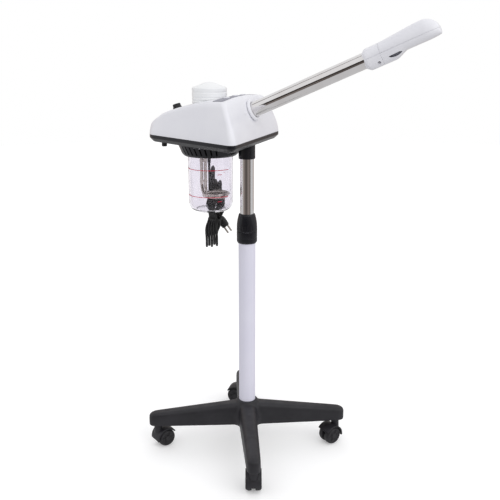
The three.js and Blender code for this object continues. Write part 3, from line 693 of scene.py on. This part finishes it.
def make_caster(number):
    axle = middle(f"caster_axle_{number}")
    stem = middle(f"caster_stem_{number}")
    trail = math.atan2(axle.y - stem.y, axle.x - stem.x)
    place = Matrix.Translation(axle) @ turn(trail, "Z")
    crescent = arc(0.0269, 35, 188, 32) + arc(0.0240, 188, 35, 32)
    fender = upright(f"caster_hood_cover_{number}", crescent, 0.0184)
    web = upright("web", arc(0.0262, 35, 190, 30) + arc(0.0090, 235, 360, 12), 0.0036)
    reach = math.hypot(axle.x - stem.x, axle.y - stem.y)
    boss = revolve("boss", rounded([
        (0, 0.0165), (0.0102, 0.0165), (0.0096, 0.0300, 0.004), (0.0094, 0.0372, 0.0010), (0, 0.0372),
    ]), 48)
    weld(fender, web, shift(boss, move(-reach, 0, 0)))
    bevel(fender, 0.0009, 3, 40)
    tools = [
        shift(cylinder("wheel_room", 0.0232, 0.0038, 0.03, 64), turn(side * math.pi / 2, "X"))
        for side in (1, -1)
    ]
    tools.append(shift(cylinder("stem_room", 0.0058, 0.02, 0.05, 32), move(-reach, 0, 0)))
    tools.append(shift(cylinder("axle_room", 0.0033, -0.02, 0.02, 32), turn(math.pi / 2, "X")))
    carve(fender, *tools)
    shift(fender, place)
    fit(fender, f"caster_{number}", "base_black", f"caster_hood_{number}")
    for side, word in ((1, "left"), (-1, "right")):
        wheel = shift(make_wheel(f"wheel_{number}_{word}_tread", side), place)
        fit(wheel, f"wheel_{number}_{word}", "base_black", f"wheel_{number}_{word}", TYRE)


make_base()
for caster_number in range(1, ARMS + 1):
    make_caster(caster_number)

# ---- column


def at_mast(obj):
    return shift(obj, Matrix.Translation(MAST))


def make_column():
    bottom, top = low_z("outer_column"), high_z("outer_column")
    tube = revolve("column_tube", rounded([
        (0.0185, bottom), (0.0200, bottom), (0.0200, top), (0.0185, top),
    ], loop=True), 96)
    fit(at_mast(tube), "stand", "column_white", "outer_column")

    low = low_z("column_collar")
    collar = revolve("column_collar_ring", rounded([
        (0.0203, low), (0.0222, low, 0.0004), (0.0240, low + 0.0040, 0.0012),
        (0.0240, 0.5400, 0.0004), (0.0234, 0.5406, 0.0002), (0.0234, 0.5418, 0.0002),
        (0.0240, 0.5424, 0.0004), (0.0240, 0.5552, 0.0006), (0.0203, 0.5552),
    ], loop=True), 96)
    fit(at_mast(collar), "stand", "tray_black", "column_collar")

    def flutes(r, z, angle):
        return -0.0007 * max(0.0, math.cos(18 * angle)) ** 3 if r > 0.0235 and 0.5585 < z < 0.572 else 0

    nut = revolve("twist_lock_nut_grip", rounded([
        (0.0203, 0.5563), (0.0238, 0.5563, 0.0006), (0.0241, 0.5575), (0.0241, 0.5590), (0.0240, 0.5640),
        (0.0238, 0.5700), (0.0236, 0.5725), (0.0222, 0.5840, 0.006), (0.0192, 0.5958, 0.003),
        (0.0178, 0.5975, 0.0008), (0.0167, 0.5975), (0.0167, 0.5950), (0.0203, 0.5840),
    ], loop=True), 144, flutes)
    fit(at_mast(nut), "lock_nut", "tray_black", "twist_lock_nut")

    bottom, top = low_z("inner_column"), high_z("inner_column")
    mast = revolve("inner_column_tube", rounded([
        (0.0147, bottom), (0.0160, bottom, 0.0005), (0.0160, top), (0.0147, top),
    ], loop=True), 96)
    fit(at_mast(mast), "mast", "chrome", "inner_column")

    low = low_z("mast_socket")
    socket = revolve("mast_socket_sleeve", rounded([
        (0, 0.7803), (0, 0.7838), (0.0174, 0.7838, 0.0010), (0.0174, 0.7577, 0.0003),
        (0.0192, 0.7577, 0.0006), (0.0192, low, 0.0009), (0.0164, low, 0.0003), (0.0164, 0.7803),
    ]), 96)
    fit(at_mast(socket), "head", "tray_black", "mast_socket")


make_column()

# ---- head

HEAD_FRONT = 0.029  # from the mast axis
HEAD_REAR = -0.242
FRONT_HALF = 0.156
REAR_HALF = 0.028
TRAY_BOTTOM = low_z("lower_tray")
SEAM = 0.774
WALL = 0.003
PLAN_STEPS = 14


def arc_corner(before, here, after, radius, steps):
    """Arc of a given radius in place of a corner."""
    before, here, after = Vector(before), Vector(here), Vector(after)
    back, ahead = (before - here).normalized(), (after - here).normalized()
    half = back.angle(ahead) / 2
    centre = here + (back + ahead).normalized() * radius / math.sin(half)
    first = here + back * radius / math.tan(half) - centre
    last = here + ahead * radius / math.tan(half) - centre
    start = math.atan2(first.y, first.x)
    sweep = math.atan2(first.x * last.y - first.y * last.x, first.dot(last))
    angles = [start + sweep * k / steps for k in range(steps + 1)]
    return [(centre.x + radius * math.cos(a), centre.y + radius * math.sin(a)) for a in angles]


def head_plan(front, side, rear):
    """Plan of the head from the mast axis, its edges moved in; straight sides are divided too."""
    slope = (FRONT_HALF - REAR_HALF) / (HEAD_FRONT - HEAD_REAR)
    drop = side * math.hypot(1, slope)

    def half_width(x):
        return REAR_HALF + (x - HEAD_REAR) * slope - drop

    front_x, rear_x = HEAD_FRONT - front, HEAD_REAR + rear
    rear_r = min(0.044, half_width(rear_x) * 1.55)
    front_r = max(0.013 - side, 0.008)
    corners = [
        (front_x, -half_width(front_x), front_r), (front_x, half_width(front_x), front_r),
        (rear_x, half_width(rear_x), rear_r), (rear_x, -half_width(rear_x), rear_r),
    ]
    arcs = []
    for i, (x, y, r) in enumerate(corners):
        before, after = corners[i - 1], corners[(i + 1) % 4]
        arcs.append(arc_corner(before[:2], (x, y), after[:2], r, PLAN_STEPS))
    points = []
    for i, run in enumerate(arcs):
        points += run
        start, end = Vector(run[-1]), Vector(arcs[(i + 1) % 4][0])
        points += [tuple(start.lerp(end, k / 8)) for k in range(1, 8)]
    return points


ROOF_TOP = 0.867
ROOF_START = -0.010  # where the top height is met, from the mast axis
ROOF_FALL = 0.088  # slope there, towards the rear
ROOF_CURVE = 0.74  # more fall with the square of the distance, per metre
ROOF_CROWN = 0.49  # fall to each side, per metre


def roof_height(x, y=0.0):
    back = ROOF_START - x
    nose = max(0.0, -0.183 - x) / 0.056
    return ROOF_TOP - ROOF_FALL * back - ROOF_CURVE * back ** 2 - 0.012 * nose ** 2 - ROOF_CROWN * y ** 2


def roof_slope(x):
    return math.atan(ROOF_FALL + 2 * ROOF_CURVE * (ROOF_START - x))


def on_roof(obj, x, y=0.0):
    """Seats a shape made about Z square to the roof."""
    tilt = turn(-roof_slope(x), "Y") @ turn(-math.atan(2 * ROOF_CROWN * y), "X")
    return at_mast(shift(obj, move(x, y, roof_height(x, y)) @ tilt))


def casing_solid(name, skin_in):
    """Outside of the casing, or the room inside it: leaning walls, a soft top edge and the roof."""
    base = SEAM + (-0.002 if skin_in else 0.0003)
    walls = [(0, 0.0006), (0.004, 0.0001)]
    walls += [(f, 0) for f in (0.02, 0.12, 0.24, 0.36, 0.5, 0.7)]
    walls.append((0.84, 0.0001))
    for k in range(1, 9):
        angle = math.pi / 2 * k / 8
        walls.append((0.86 + 0.14 * math.sin(angle), 0.0068 * (1 - math.cos(angle))))
    rings = []
    for f, edge in walls:
        inset = skin_in + edge
        lean = f - 0.85 * f * (1 - f) ** 2
        plan = head_plan(0.030 * lean + inset, 0.012 * lean + inset, 0.003 * lean + inset)
        rings.append([(x, y, base + f * (roof_height(x, y) - skin_in - base)) for x, y in plan])
    rim = rings[-1]
    centre_x = -0.100
    for share in (0.985, 0.94, 0.86, 0.74, 0.6, 0.45, 0.3, 0.15):
        plan = [(centre_x + (point[0] - centre_x) * share, point[1] * share) for point in rim]
        rings.append([(x, y, roof_height(x, y) - skin_in) for x, y in plan])
    return skin(name, rings, crease=30)


ARM_ROOT = Vector((0.0102, 0, 0.8333))
ARM_RISE = math.radians(23.8)


def on_arm(obj):
    """Places a shape made along the arm from its root."""
    return shift(obj, Matrix.Translation(MAST + ARM_ROOT) @ turn(-ARM_RISE, "Y"))


ALONG_X = turn(math.pi / 2, "Y")
PANEL_X = -0.029
KNOB_X = -0.172
BUTTONS = {"power": -0.048, "steam": 0.0, "ozone": 0.048}


def panel_strip(name, grow, bottom, top, stations=24):
    """Strip tapered and crowned like the roof, for the panel and its seat."""
    rings = []
    for k in range(-stations, stations + 1):
        share = math.sin(math.pi / 2 * k / stations)
        front, rear = share * (0.108 + grow), share * (0.093 + grow)
        past = max(0.0, abs(front) - 0.102) / (0.006 + grow)
        half = 0.016 + grow - 0.005 * (1 - math.sqrt(max(0.0, 1 - past ** 2)))
        section = ((-half, rear, bottom), (half, front, bottom), (half, front, top), (-half, rear, top))
        rings.append([(x, y, z - ROOF_CROWN * y ** 2) for x, y, z in section])
    return skin(name, rings)


def make_casing():
    shell = casing_solid("upper_casing_shell", 0)
    room = shift(cylinder("cap_room", 0.0408, 0.8, 0.9, 96), move(JAR.x - MAST.x, 0, 0))
    tools = [at_mast(casing_solid("inside", WALL)), at_mast(room)]
    at_mast(shell)
    tools.append(on_arm(shift(cylinder("arm_room", 0.0220, -0.04, 0.03, 64), ALONG_X)))
    tools.append(on_roof(panel_strip("recess", 0.0003, -0.0017, 0.02), PANEL_X))
    tools.append(on_roof(panel_strip("window", -0.004, -0.02, 0.02), PANEL_X))
    tools.append(on_roof(cylinder("knob_room", 0.0036, -0.02, 0.02, 32), KNOB_X))
    carve(shell, *tools, crease=30)
    fit(shell, "head", "casing_white", "upper_casing")


def make_tray():
    def layers(name, edge):
        rings = [[(x, y, z) for x, y in head_plan(inset, inset, inset)] for inset, z in edge]
        return skin(name, rings, crease=34)

    edge = rounded([
        (0.0085, TRAY_BOTTOM, 0.001), (0.0022, TRAY_BOTTOM + 0.0066, 0.002),
        (0.0002, TRAY_BOTTOM + 0.0086, 0.001), (0, SEAM - 0.0006, 0.0002), (0.0005, SEAM),
        (0.0012, SEAM),
    ])
    tray = layers("lower_tray_moulding", [(0.0100, TRAY_BOTTOM), *edge])
    fuse = middle("fuse_holder_cap") - MAST
    tools = [layers("inside", [
        (0.011, TRAY_BOTTOM + WALL), (0.0042, TRAY_BOTTOM + 0.009), (0.003, SEAM + 0.001),
    ])]
    for name, radius, x, y in (("bowl_room", 0.060, JAR.x - MAST.x, 0), ("spigot_room", 0.0179, 0, 0),
                               ("fuse_room", 0.0044, fuse.x, fuse.y)):
        tools.append(shift(cylinder(name, radius, 0.70, 0.80, 72), move(x, y, 0)))
    carve(tray, *tools, crease=34)
    fit(at_mast(tray), "head", "tray_black", "lower_tray")


def make_fuse_cap():
    low = low_z("fuse_holder_cap")
    cap = revolve("fuse_cap_knob", rounded([
        (0, low), (0.0052, low, 0.0006), (0.0062, low + 0.0012, 0.0005), (0.0062, low + 0.0086),
        (0.0040, low + 0.0086), (0.0039, low + 0.0208), (0, low + 0.0208),
    ]), 60, lambda r, z, a: -0.0003 * (0.5 + 0.5 * math.cos(20 * a)) if r > 0.006 else 0)
    carve(cap, box("slot", (0.008, 0.0012, 0.002), (0, 0, low)))
    spot = middle("fuse_holder_cap")
    shift(cap, move(spot.x, spot.y, 0) @ turn(0.6, "Z"))
    fit(cap, "fuse_cap", "soft_black", "fuse_holder_cap")


def make_bowl():
    low, top = low_z("vent_bowl"), high_z("vent_bowl")
    bowl = revolve("vent_bowl_moulding", rounded([
        (0.0543, low, 0.0004), (0.0606, low, 0.0012), (0.0648, low + 0.0042, 0.003),
        (0.0662, 0.7365, 0.002), (0.0749, top), (0.0720, top), (0.0630, 0.7375, 0.002),
        (0.0600, low + 0.0030, 0.001), (0.0543, low + 0.0030),
    ], loop=True), 120)
    tools = []
    for side in (-90, 90):
        for k in range(8):
            angle = math.radians(side + (k - 3.5) * 10)
            slot = bevel(box("slot", (0.014, 0.0036, 0.0195)), 0.0012, 3, 40)
            at_wall = move(0.070, 0, 0.745) @ turn(math.radians(12), "X")
            tools.append(shift(slot, turn(angle, "Z") @ at_wall))
    spot = middle("cord_gland") - JAR
    tools.append(shift(cylinder("exit", 0.0048, 0.70, 0.745, 32), move(spot.x, spot.y, 0)))
    tools.append(shift(cylinder("socket_room", 0.0198, 0.70, 0.76, 64), Matrix.Translation(MAST - JAR)))
    carve(bowl, *tools, crease=34)
    shift(bowl, Matrix.Translation(JAR))
    fit(bowl, "head", "tray_black", "vent_bowl")


make_casing()
make_tray()
make_fuse_cap()
make_bowl()

# ---- water side


JAR_FOOT = (0.616, 0.0517)  # height and outside radius of the wall
JAR_RIM = (0.750, 0.0527)


def at_jar(obj):
    """Places a mesh or a curve made about the jar's axis."""
    obj.data.transform(Matrix.Translation(JAR) @ turn(VIEW_TURN, "Z"))
    return obj


def jar_radius(z):
    """Outside radius of the jar's wall."""
    share = (z - JAR_FOOT[0]) / (JAR_RIM[0] - JAR_FOOT[0])
    return JAR_FOOT[1] + (JAR_RIM[1] - JAR_FOOT[1]) * share


def make_jar():
    low, top = low_z("water_jar"), high_z("water_jar")
    jar = revolve("water_jar_shell", rounded([
        (0, low + 0.0012), (0.032, low + 0.0012, 0.001), (0.034, low, 0.0008), (0.0375, low, 0.001),
        (0.0465, low + 0.0045, 0.005), (0.0516, 0.6165, 0.006), (0.0520, 0.670), (0.0523, 0.710),
        (0.0526, top, 0.0006), (0.0498, top, 0.0006), (0.0494, 0.710), (0.0491, 0.670),
        (0.0487, 0.6175, 0.006), (0.0445, 0.6070, 0.003), (0.036, low + 0.003, 0.004),
        (0, low + 0.0034),
    ]), 128, crease=30)
    fit(at_jar(jar), "jar", "jar_clear", "water_jar")


def jar_band(name, z, height, start, end):
    """Thin printed line round part of the jar."""
    steps = max(2, round((end - start) / 2))
    near, far = jar_radius(z) + 0.0001, jar_radius(z) + 0.00025
    section = ((near, z), (far, z), (far, z + height), (near, z + height))
    rings = []
    for k in range(steps + 1):
        angle = math.radians(start + (end - start) * k / steps)
        rings.append([(r * math.cos(angle), r * math.sin(angle), h) for r, h in section])
    return skin(name, rings)


def make_level_marks():
    """Two level lines with plain dashes between them."""
    for word, z in (("high", 0.7000), ("low", 0.6376)):
        line = at_jar(jar_band(f"level_{word}_line", z, 0.0014, -176, -36))
        fit(line, "jar", "jar_clear", (), RED)
        for part, end, below, size in (("dash", -58, 0.0100, 12), ("dot", -50, 0.0055, 2)):
            mark = at_jar(jar_band(f"level_{word}_{part}", z - below, 0.0012, end - size, end))
            fit(mark, "jar", "jar_clear", (), RED)


def make_heater():
    centre, outer, inner = 0.011, 0.032, 0.024
    points = [(centre - outer, 0, z) for z in (0.776, 0.735, 0.690, 0.660)]
    for k in range(1, 20):
        angle = math.pi + 2 * TURN * k / 20
        radius = outer + (inner - outer) * k / 20
        points.append((centre + radius * math.cos(angle), radius * math.sin(angle), 0.642 - 0.012 * k / 20))
    points += [(centre - inner + 0.001, 0, z) for z in (0.650, 0.690, 0.735, 0.776)]
    element = wire("heating_element_bar", smooth_path(points, 8), 0.0036, 6)
    fit(at_jar(element), "head", "steel", "heating_element")
    for z in (0.668, 0.716):
        clip = box(f"element_clip_{round(z * 1000)}", (0.0175, 0.0036, 0.006), (-0.0165, 0, z))
        bevel(clip, 0.0008, 2, 40)
        fit(at_jar(clip), "head", "steel")


def make_cap():
    low, top = low_z("filler_cap"), high_z("filler_cap")
    cap = revolve("filler_cap_dome", rounded([
        (0, 0.8802), (0.0368, 0.8802, 0.001), (0.0368, low, 0.0006), (0.0394, low, 0.0008),
        (0.0398, 0.8455, 0.0006), (0.0389, 0.8467, 0.0005), (0.0389, 0.8487, 0.0005),
        (0.0399, 0.8498, 0.0005), (0.0399, 0.8532, 0.0005), (0.0390, 0.8542, 0.0005),
        (0.0390, 0.8560, 0.0005), (0.0399, 0.8571, 0.0005), (0.0399, 0.8602, 0.0005),
        (0.0391, 0.8612, 0.0005), (0.0391, 0.8630, 0.0005), (0.0399, 0.8641, 0.0005),
        (0.0399, 0.8722, 0.0005), (0.0393, 0.8731, 0.0004), (0.0393, 0.8744, 0.0004),
        (0.0399, 0.8753, 0.0004), (0.0399, 0.8816, 0.0012), (0.0384, 0.8840, 0.0012),
        (0.0320, 0.8856, 0.004), (0.0235, 0.8888, 0.006), (0.0160, 0.8922, 0.006),
        (0.0080, 0.8948, 0.005), (0, top - 0.0001),
    ]), 128, crease=44)
    shift(cap, Matrix.Translation(JAR))
    fit(cap, "cap", "cap_white", "filler_cap")


make_jar()
make_level_marks()
make_heater()
make_cap()

# ---- controls


def make_controls():
    panel = panel_strip("control_panel_plate", -0.0001, -0.0014, 0.0006)
    rooms = []
    for y in BUTTONS.values():
        room = cylinder("button_room", 0.0074, -0.01, 0.01, 48)
        rooms.append(shift(room, move(0, y, -ROOF_CROWN * y ** 2)))
    carve(panel, *rooms)
    bevel(panel, 0.0003, 2, 50)
    fit(on_roof(panel, PANEL_X), "head", "panel_grey", "control_panel")
    for word, y in BUTTONS.items():
        button = revolve(f"{word}_button_cap", rounded([
            (0, -0.005), (0.0069, -0.005), (0.0069, 0.0020, 0.0004), (0.0062, 0.0026, 0.0005),
            (0.0050, 0.0024, 0.001), (0, 0.0019),
        ]), 64)
        fit(on_roof(button, PANEL_X, y), f"{word}_key", "casing_white", f"{word}_button")
        lamp = revolve(f"{word}_lamp", rounded([
            (0, 0.0004), (0.0016, 0.0004), (0.0016, 0.0011, 0.0004), (0.0008, 0.0014, 0.0004), (0, 0.0015),
        ]), 32)
        fit(on_roof(lamp, PANEL_X, y + 0.014), "head", "panel_grey", (), RED)


def make_knob():
    def grip(r, z, angle):
        return -0.00045 * (0.5 + 0.5 * math.cos(24 * angle)) if r > 0.0085 and z > 0.0045 else 0

    knob = revolve("timer_knob_grip", rounded([
        (0, -0.008), (0.0030, -0.008), (0.0030, 0.0005), (0.0109, 0.0005, 0.0004), (0.0110, 0.0026, 0.0008),
        (0.0098, 0.0034, 0.0006), (0.0095, 0.0046), (0.0091, 0.0100, 0.0008), (0.0080, 0.0114, 0.0010),
        (0.0055, 0.0111, 0.001), (0, 0.0109),
    ]), 144, grip)
    fit(on_roof(knob, KNOB_X), "knob", "soft_black", "timer_knob")
    pointer = box("timer_pointer", (0.0060, 0.0011, 0.0006), (0.0048, 0, 0.0112))
    bevel(pointer, 0.0002, 2, 40)
    fit(on_roof(pointer, KNOB_X), "knob", "casing_white")


make_controls()
make_knob()

# ---- steam arm

COLLAR_IN = 0.271
COLLAR_OUT = 0.315
NOZZLE_TIP = 0.440
NOSE_LENGTH = 0.028
NOZZLE_SKIN = 0.0006  # below the CAD shell's outside


def nozzle_section(x):
    """Half width, rise above and drop below the parting line."""
    mouth = math.sqrt(min(1.0, (x - COLLAR_IN + 0.004) / 0.018))
    past = min(1.0, max(0.0, 1 - (NOZZLE_TIP - x) / NOSE_LENGTH))
    nose = math.sqrt(1 - past ** 1.6)
    swell = smoothstep(x, 0.300, 0.410)
    bulge = 1 - smoothstep(x, 0.338, 0.368)
    half = (0.022 + 0.005 * swell) * mouth * (0.55 + 0.45 * nose)
    rise = (0.023 + 0.0065 * swell) * mouth * (0.1 + 0.9 * nose)
    drop = (0.015 + 0.010 * bulge) * mouth * (0.8 + 0.2 * nose)
    return half, rise, drop


def nozzle_skin(name, start, end, skin_in, stations=40, count=64):
    rings = []
    for k in range(stations + 1):
        t = k / stations
        x = start + (end - start) * (1 - (1 - t) ** 1.6)
        half, rise, drop = nozzle_section(x)
        ring = []
        for i in range(count):
            angle = TURN * (i + 0.5) / count
            across = math.copysign(abs(math.cos(angle)) ** 0.8, math.cos(angle))
            up = math.copysign(abs(math.sin(angle)) ** 0.8, math.sin(angle))
            height = rise if up > 0 else drop
            ring.append((x, (half - skin_in) * across, (height - skin_in) * up))
        rings.append(ring)
    return skin(name, rings, crease=40)


def outlet_place():
    return move(0.352, 0, -0.015) @ turn(math.radians(125), "Y")


def make_nozzle():
    def along(obj):
        return shift(obj, ALONG_X)

    collar = nozzle_skin("nozzle_collar_shell", COLLAR_IN, COLLAR_OUT, NOZZLE_SKIN, 24)
    bevel(collar, 0.0012, 3, 50)
    screw_at = move(0.307, 0, 0) @ turn(math.radians(135), "X")
    carve(
        collar,
        along(cylinder("bore", 0.0174, COLLAR_IN - 0.005, 0.3003, 72)),
        along(cylinder("throat", 0.0130, 0.300, COLLAR_OUT + 0.005, 72)),
        shift(cylinder("screw_room", 0.0036, 0.0165, 0.04, 40), screw_at),
        shift(cylinder("screw_bore", 0.0023, 0.014, 0.017, 32), screw_at),
        box("seam", (0.06, 0.0016, 0.0007), (0.293, -0.0212, 0)),
        box("seam", (0.06, 0.0016, 0.0007), (0.293, 0.0212, 0)),
    )
    fit(on_arm(collar), "arm", "casing_white", "nozzle_collar")

    screw = revolve("collar_screw_head", rounded([
        (0, 0.0145), (0.0020, 0.0145), (0.0020, 0.0165), (0.0031, 0.0165, 0.0002), (0.0031, 0.0174, 0.0006),
        (0.0018, 0.0182, 0.0006), (0, 0.0183),
    ]), 40)
    for size in ((0.0040, 0.0007, 0.0016), (0.0007, 0.0040, 0.0016)):
        carve(screw, box("slot", size, (0, 0, 0.0183)))
    fit(on_arm(shift(screw, screw_at)), "arm", "steel", "collar_screw")

    for part, z in (("upper", 1), ("lower", -1)):
        shell = nozzle_skin(f"nozzle_{part}_half", COLLAR_OUT + 0.0003, NOZZLE_TIP - 0.0002, NOZZLE_SKIN)
        tools = [nozzle_skin("inside", COLLAR_OUT - 0.001, NOZZLE_TIP - 0.004, 0.0026, 30),
                 box("other_half", (0.2, 0.1, 0.06), (0.38, 0, -z * (0.03 - 0.00015)))]
        carve(shell, *tools, crease=40)
        if part == "lower":
            side = rounded([
                (0.3290, -0.0128), (0.3315, -0.0160, 0.001), (0.3400, -0.0184, 0.004),
                (0.3500, -0.0178, 0.006), (0.3590, -0.0136, 0.002), (0.3520, -0.0120, 0.002),
            ])
            scoop = skin("scoop", [[(x, y, z) for x, z in side] for y in (-0.03, 0.03)])
            carve(shell, scoop, crease=40)
        bevel(shell, 0.0004, 2, 60)
        fit(on_arm(shell), "nozzle", "casing_white", f"nozzle_{part}_shell")

    outlet = revolve("steam_outlet_tube", rounded([
        (0.0044, -0.0066), (0.0060, -0.0066, 0.0004), (0.0060, -0.0004, 0.0005), (0.0044, -0.0004, 0.0005),
    ], loop=True), 72)
    fit(on_arm(shift(outlet, outlet_place())), "nozzle", "soft_black", "steam_outlet")
    # Back wall of the outlet recess, which also closes the hollow shell. Its grey panel plastic is painted
    # shade for the recess, where the casing round it is white.
    wall = skin("steam_outlet_wall", [
        [(x, y, z) for x, z in ((0.3292, -0.0200), (0.3480, -0.0196), (0.3600, -0.0146), (0.3600, -0.0080),
                                (0.3292, -0.0080))]
        for y in (-0.0110, 0.0110)
    ])
    carve(wall, shift(cylinder("outlet_room", 0.0063, -0.02, 0.02, 72), outlet_place()))
    bevel(wall, 0.0004, 2, 40)
    fit(on_arm(wall), "nozzle", "panel_grey")


def make_arm():
    bezel = revolve("arm_bezel_ring", rounded([
        (0.0174, -0.009), (0.0215, -0.009), (0.0215, 0.0034), (0.0249, 0.0034, 0.0006),
        (0.0249, 0.0068, 0.0016), (0.0232, 0.0094, 0.0012), (0.0188, 0.0094, 0.0010),
        (0.0174, 0.0080, 0.0008),
    ], loop=True), 96)
    fit(on_arm(shift(bezel, ALONG_X)), "head", "casing_white", "arm_bezel")
    tube = revolve("arm_tube_chromed", rounded([
        (0.0158, -0.040), (0.0170, -0.040), (0.0170, 0.300), (0.0158, 0.300),
    ], loop=True), 96)
    fit(on_arm(shift(tube, ALONG_X)), "arm", "chrome", "arm_tube")


make_arm()
make_nozzle()

# ---- stage

CARDS = (
    # start and end in degrees to the right of the camera's side, bottom, top, distance, brightness
    (-66, -45, -0.15, 0.62, 2.1, 0.32),
    (-45, -27, -0.15, 0.62, 2.1, 0.20),
    (-27, 9, -0.15, 0.62, 2.1, 0.115),
    (9, 45, -0.15, 0.62, 2.1, 0.26),
    (45, 62, -0.15, 0.62, 2.1, 0.13),
    (-60, 62, 0.62, 1.27, 2.1, 0.05),
    (118, 178, 0.10, 1.2, 2.1, 0.44),
    (-176, -118, 0.10, 1.2, 2.1, 0.52),
    (-108, -95, 1.9, 3.9, 1.5, 0.14),
)


def facing(degrees, reach, z):
    """Place round the mast, at an angle to the right of the camera's side."""
    angle = math.radians(degrees)
    return MAST + CAMERA_FRAME @ Vector((reach * math.sin(angle), -reach * math.cos(angle), z))


def glow(name, level, tint=(1.0, 0.86, 0.80)):
    material = bpy.data.materials.new(name)
    material.use_nodes = True
    tree = material.node_tree
    tree.nodes.remove(tree.nodes["Principled BSDF"])
    emission = tree.nodes.new("ShaderNodeEmission")
    emission.inputs["Color"].default_value = (*(level * part for part in tint), 1)
    tree.links.new(emission.outputs["Emission"], tree.nodes["Material Output"].inputs["Surface"])
    return material


def only_mirrored(obj):
    obj.visible_camera = False
    obj.visible_diffuse = False
    obj.visible_transmission = False
    obj.visible_shadow = False
    obj.visible_volume_scatter = False


def make_cards():
    """Dim studio cards that only the polished metal mirrors."""
    for number, (start, end, low, high, reach, level) in enumerate(CARDS, 1):
        steps = 10
        angles = [start + (end - start) * k / steps for k in range(steps + 1)]
        rings = [
            [facing(a, reach + out, z) for out, z in ((0, low), (0.01, low), (0.01, high), (0, high))]
            for a in angles
        ]
        card = skin(f"card_{number}", rings)
        card.data.materials.append(glow(f"card_{number}", level))
        only_mirrored(card)


def make_floor():
    floor = cylinder("floor", 6, -0.02, 0.0, 96)
    nodes = Nodes("floor_pale")
    nodes.tint(nodes.noise(1.2, 3), (0.90, 0.90, 0.90), (0.92, 0.92, 0.92))
    nodes.put("Emission Color", (1, 1, 1, 1))
    nodes.put("Emission Strength", 0.22)
    nodes.join(nodes.spread(nodes.noise(3, 3), 0.8, 0.9), nodes.shader.inputs["Roughness"])
    floor.data.materials.append(nodes.material)
    floor.visible_diffuse = False
    floor.visible_glossy = False


def soft_sun(name, source, power, spread):
    """Wide soft light from a direction given in the camera's right, away and up."""
    data = bpy.data.lights.new(name, "SUN")
    data.energy = power
    data.angle = math.radians(spread)
    light = bpy.data.objects.new(name, data)
    bpy.context.scene.collection.objects.link(light)
    aim = -(CAMERA_FRAME @ Vector(source))
    light.rotation_euler = aim.to_track_quat("-Z", "Y").to_euler()


def make_world():
    """White to the camera, and for light brighter above than below."""
    world = bpy.data.worlds.new("studio")
    bpy.context.scene.world = world
    world.use_nodes = True
    tree = world.node_tree
    lit = tree.nodes["Background"]
    place = tree.nodes.new("ShaderNodeTexCoord")
    split = tree.nodes.new("ShaderNodeSeparateXYZ")
    height = tree.nodes.new("ShaderNodeMapRange")
    height.inputs["From Min"].default_value = -1.0
    ramp = tree.nodes.new("ShaderNodeValToRGB")
    stops = ramp.color_ramp.elements
    stops[0].position, stops[0].color = 0.44, (0.64, 0.64, 0.65, 1)
    stops[1].position, stops[1].color = 0.56, (0.90, 0.90, 0.91, 1)
    seen = tree.nodes.new("ShaderNodeBackground")
    seen.inputs["Color"].default_value = (1, 1, 1, 1)
    path = tree.nodes.new("ShaderNodeLightPath")
    mix = tree.nodes.new("ShaderNodeMixShader")
    for source, target in (
        (place.outputs["Generated"], split.inputs["Vector"]),
        (split.outputs["Z"], height.inputs["Value"]),
        (height.outputs["Result"], ramp.inputs["Fac"]),
        (ramp.outputs["Color"], lit.inputs["Color"]),
        (path.outputs["Is Camera Ray"], mix.inputs[0]),
        (lit.outputs["Background"], mix.inputs[1]),
        (seen.outputs["Background"], mix.inputs[2]),
        (mix.outputs["Shader"], tree.nodes["World Output"].inputs["Surface"]),
    ):
        tree.links.new(source, target)


make_floor()
make_cards()
make_world()
soft_sun("front", (0.75, -0.75, 0.5), 0.7, 60)
bpy.context.scene.view_settings.view_transform = "Standard"
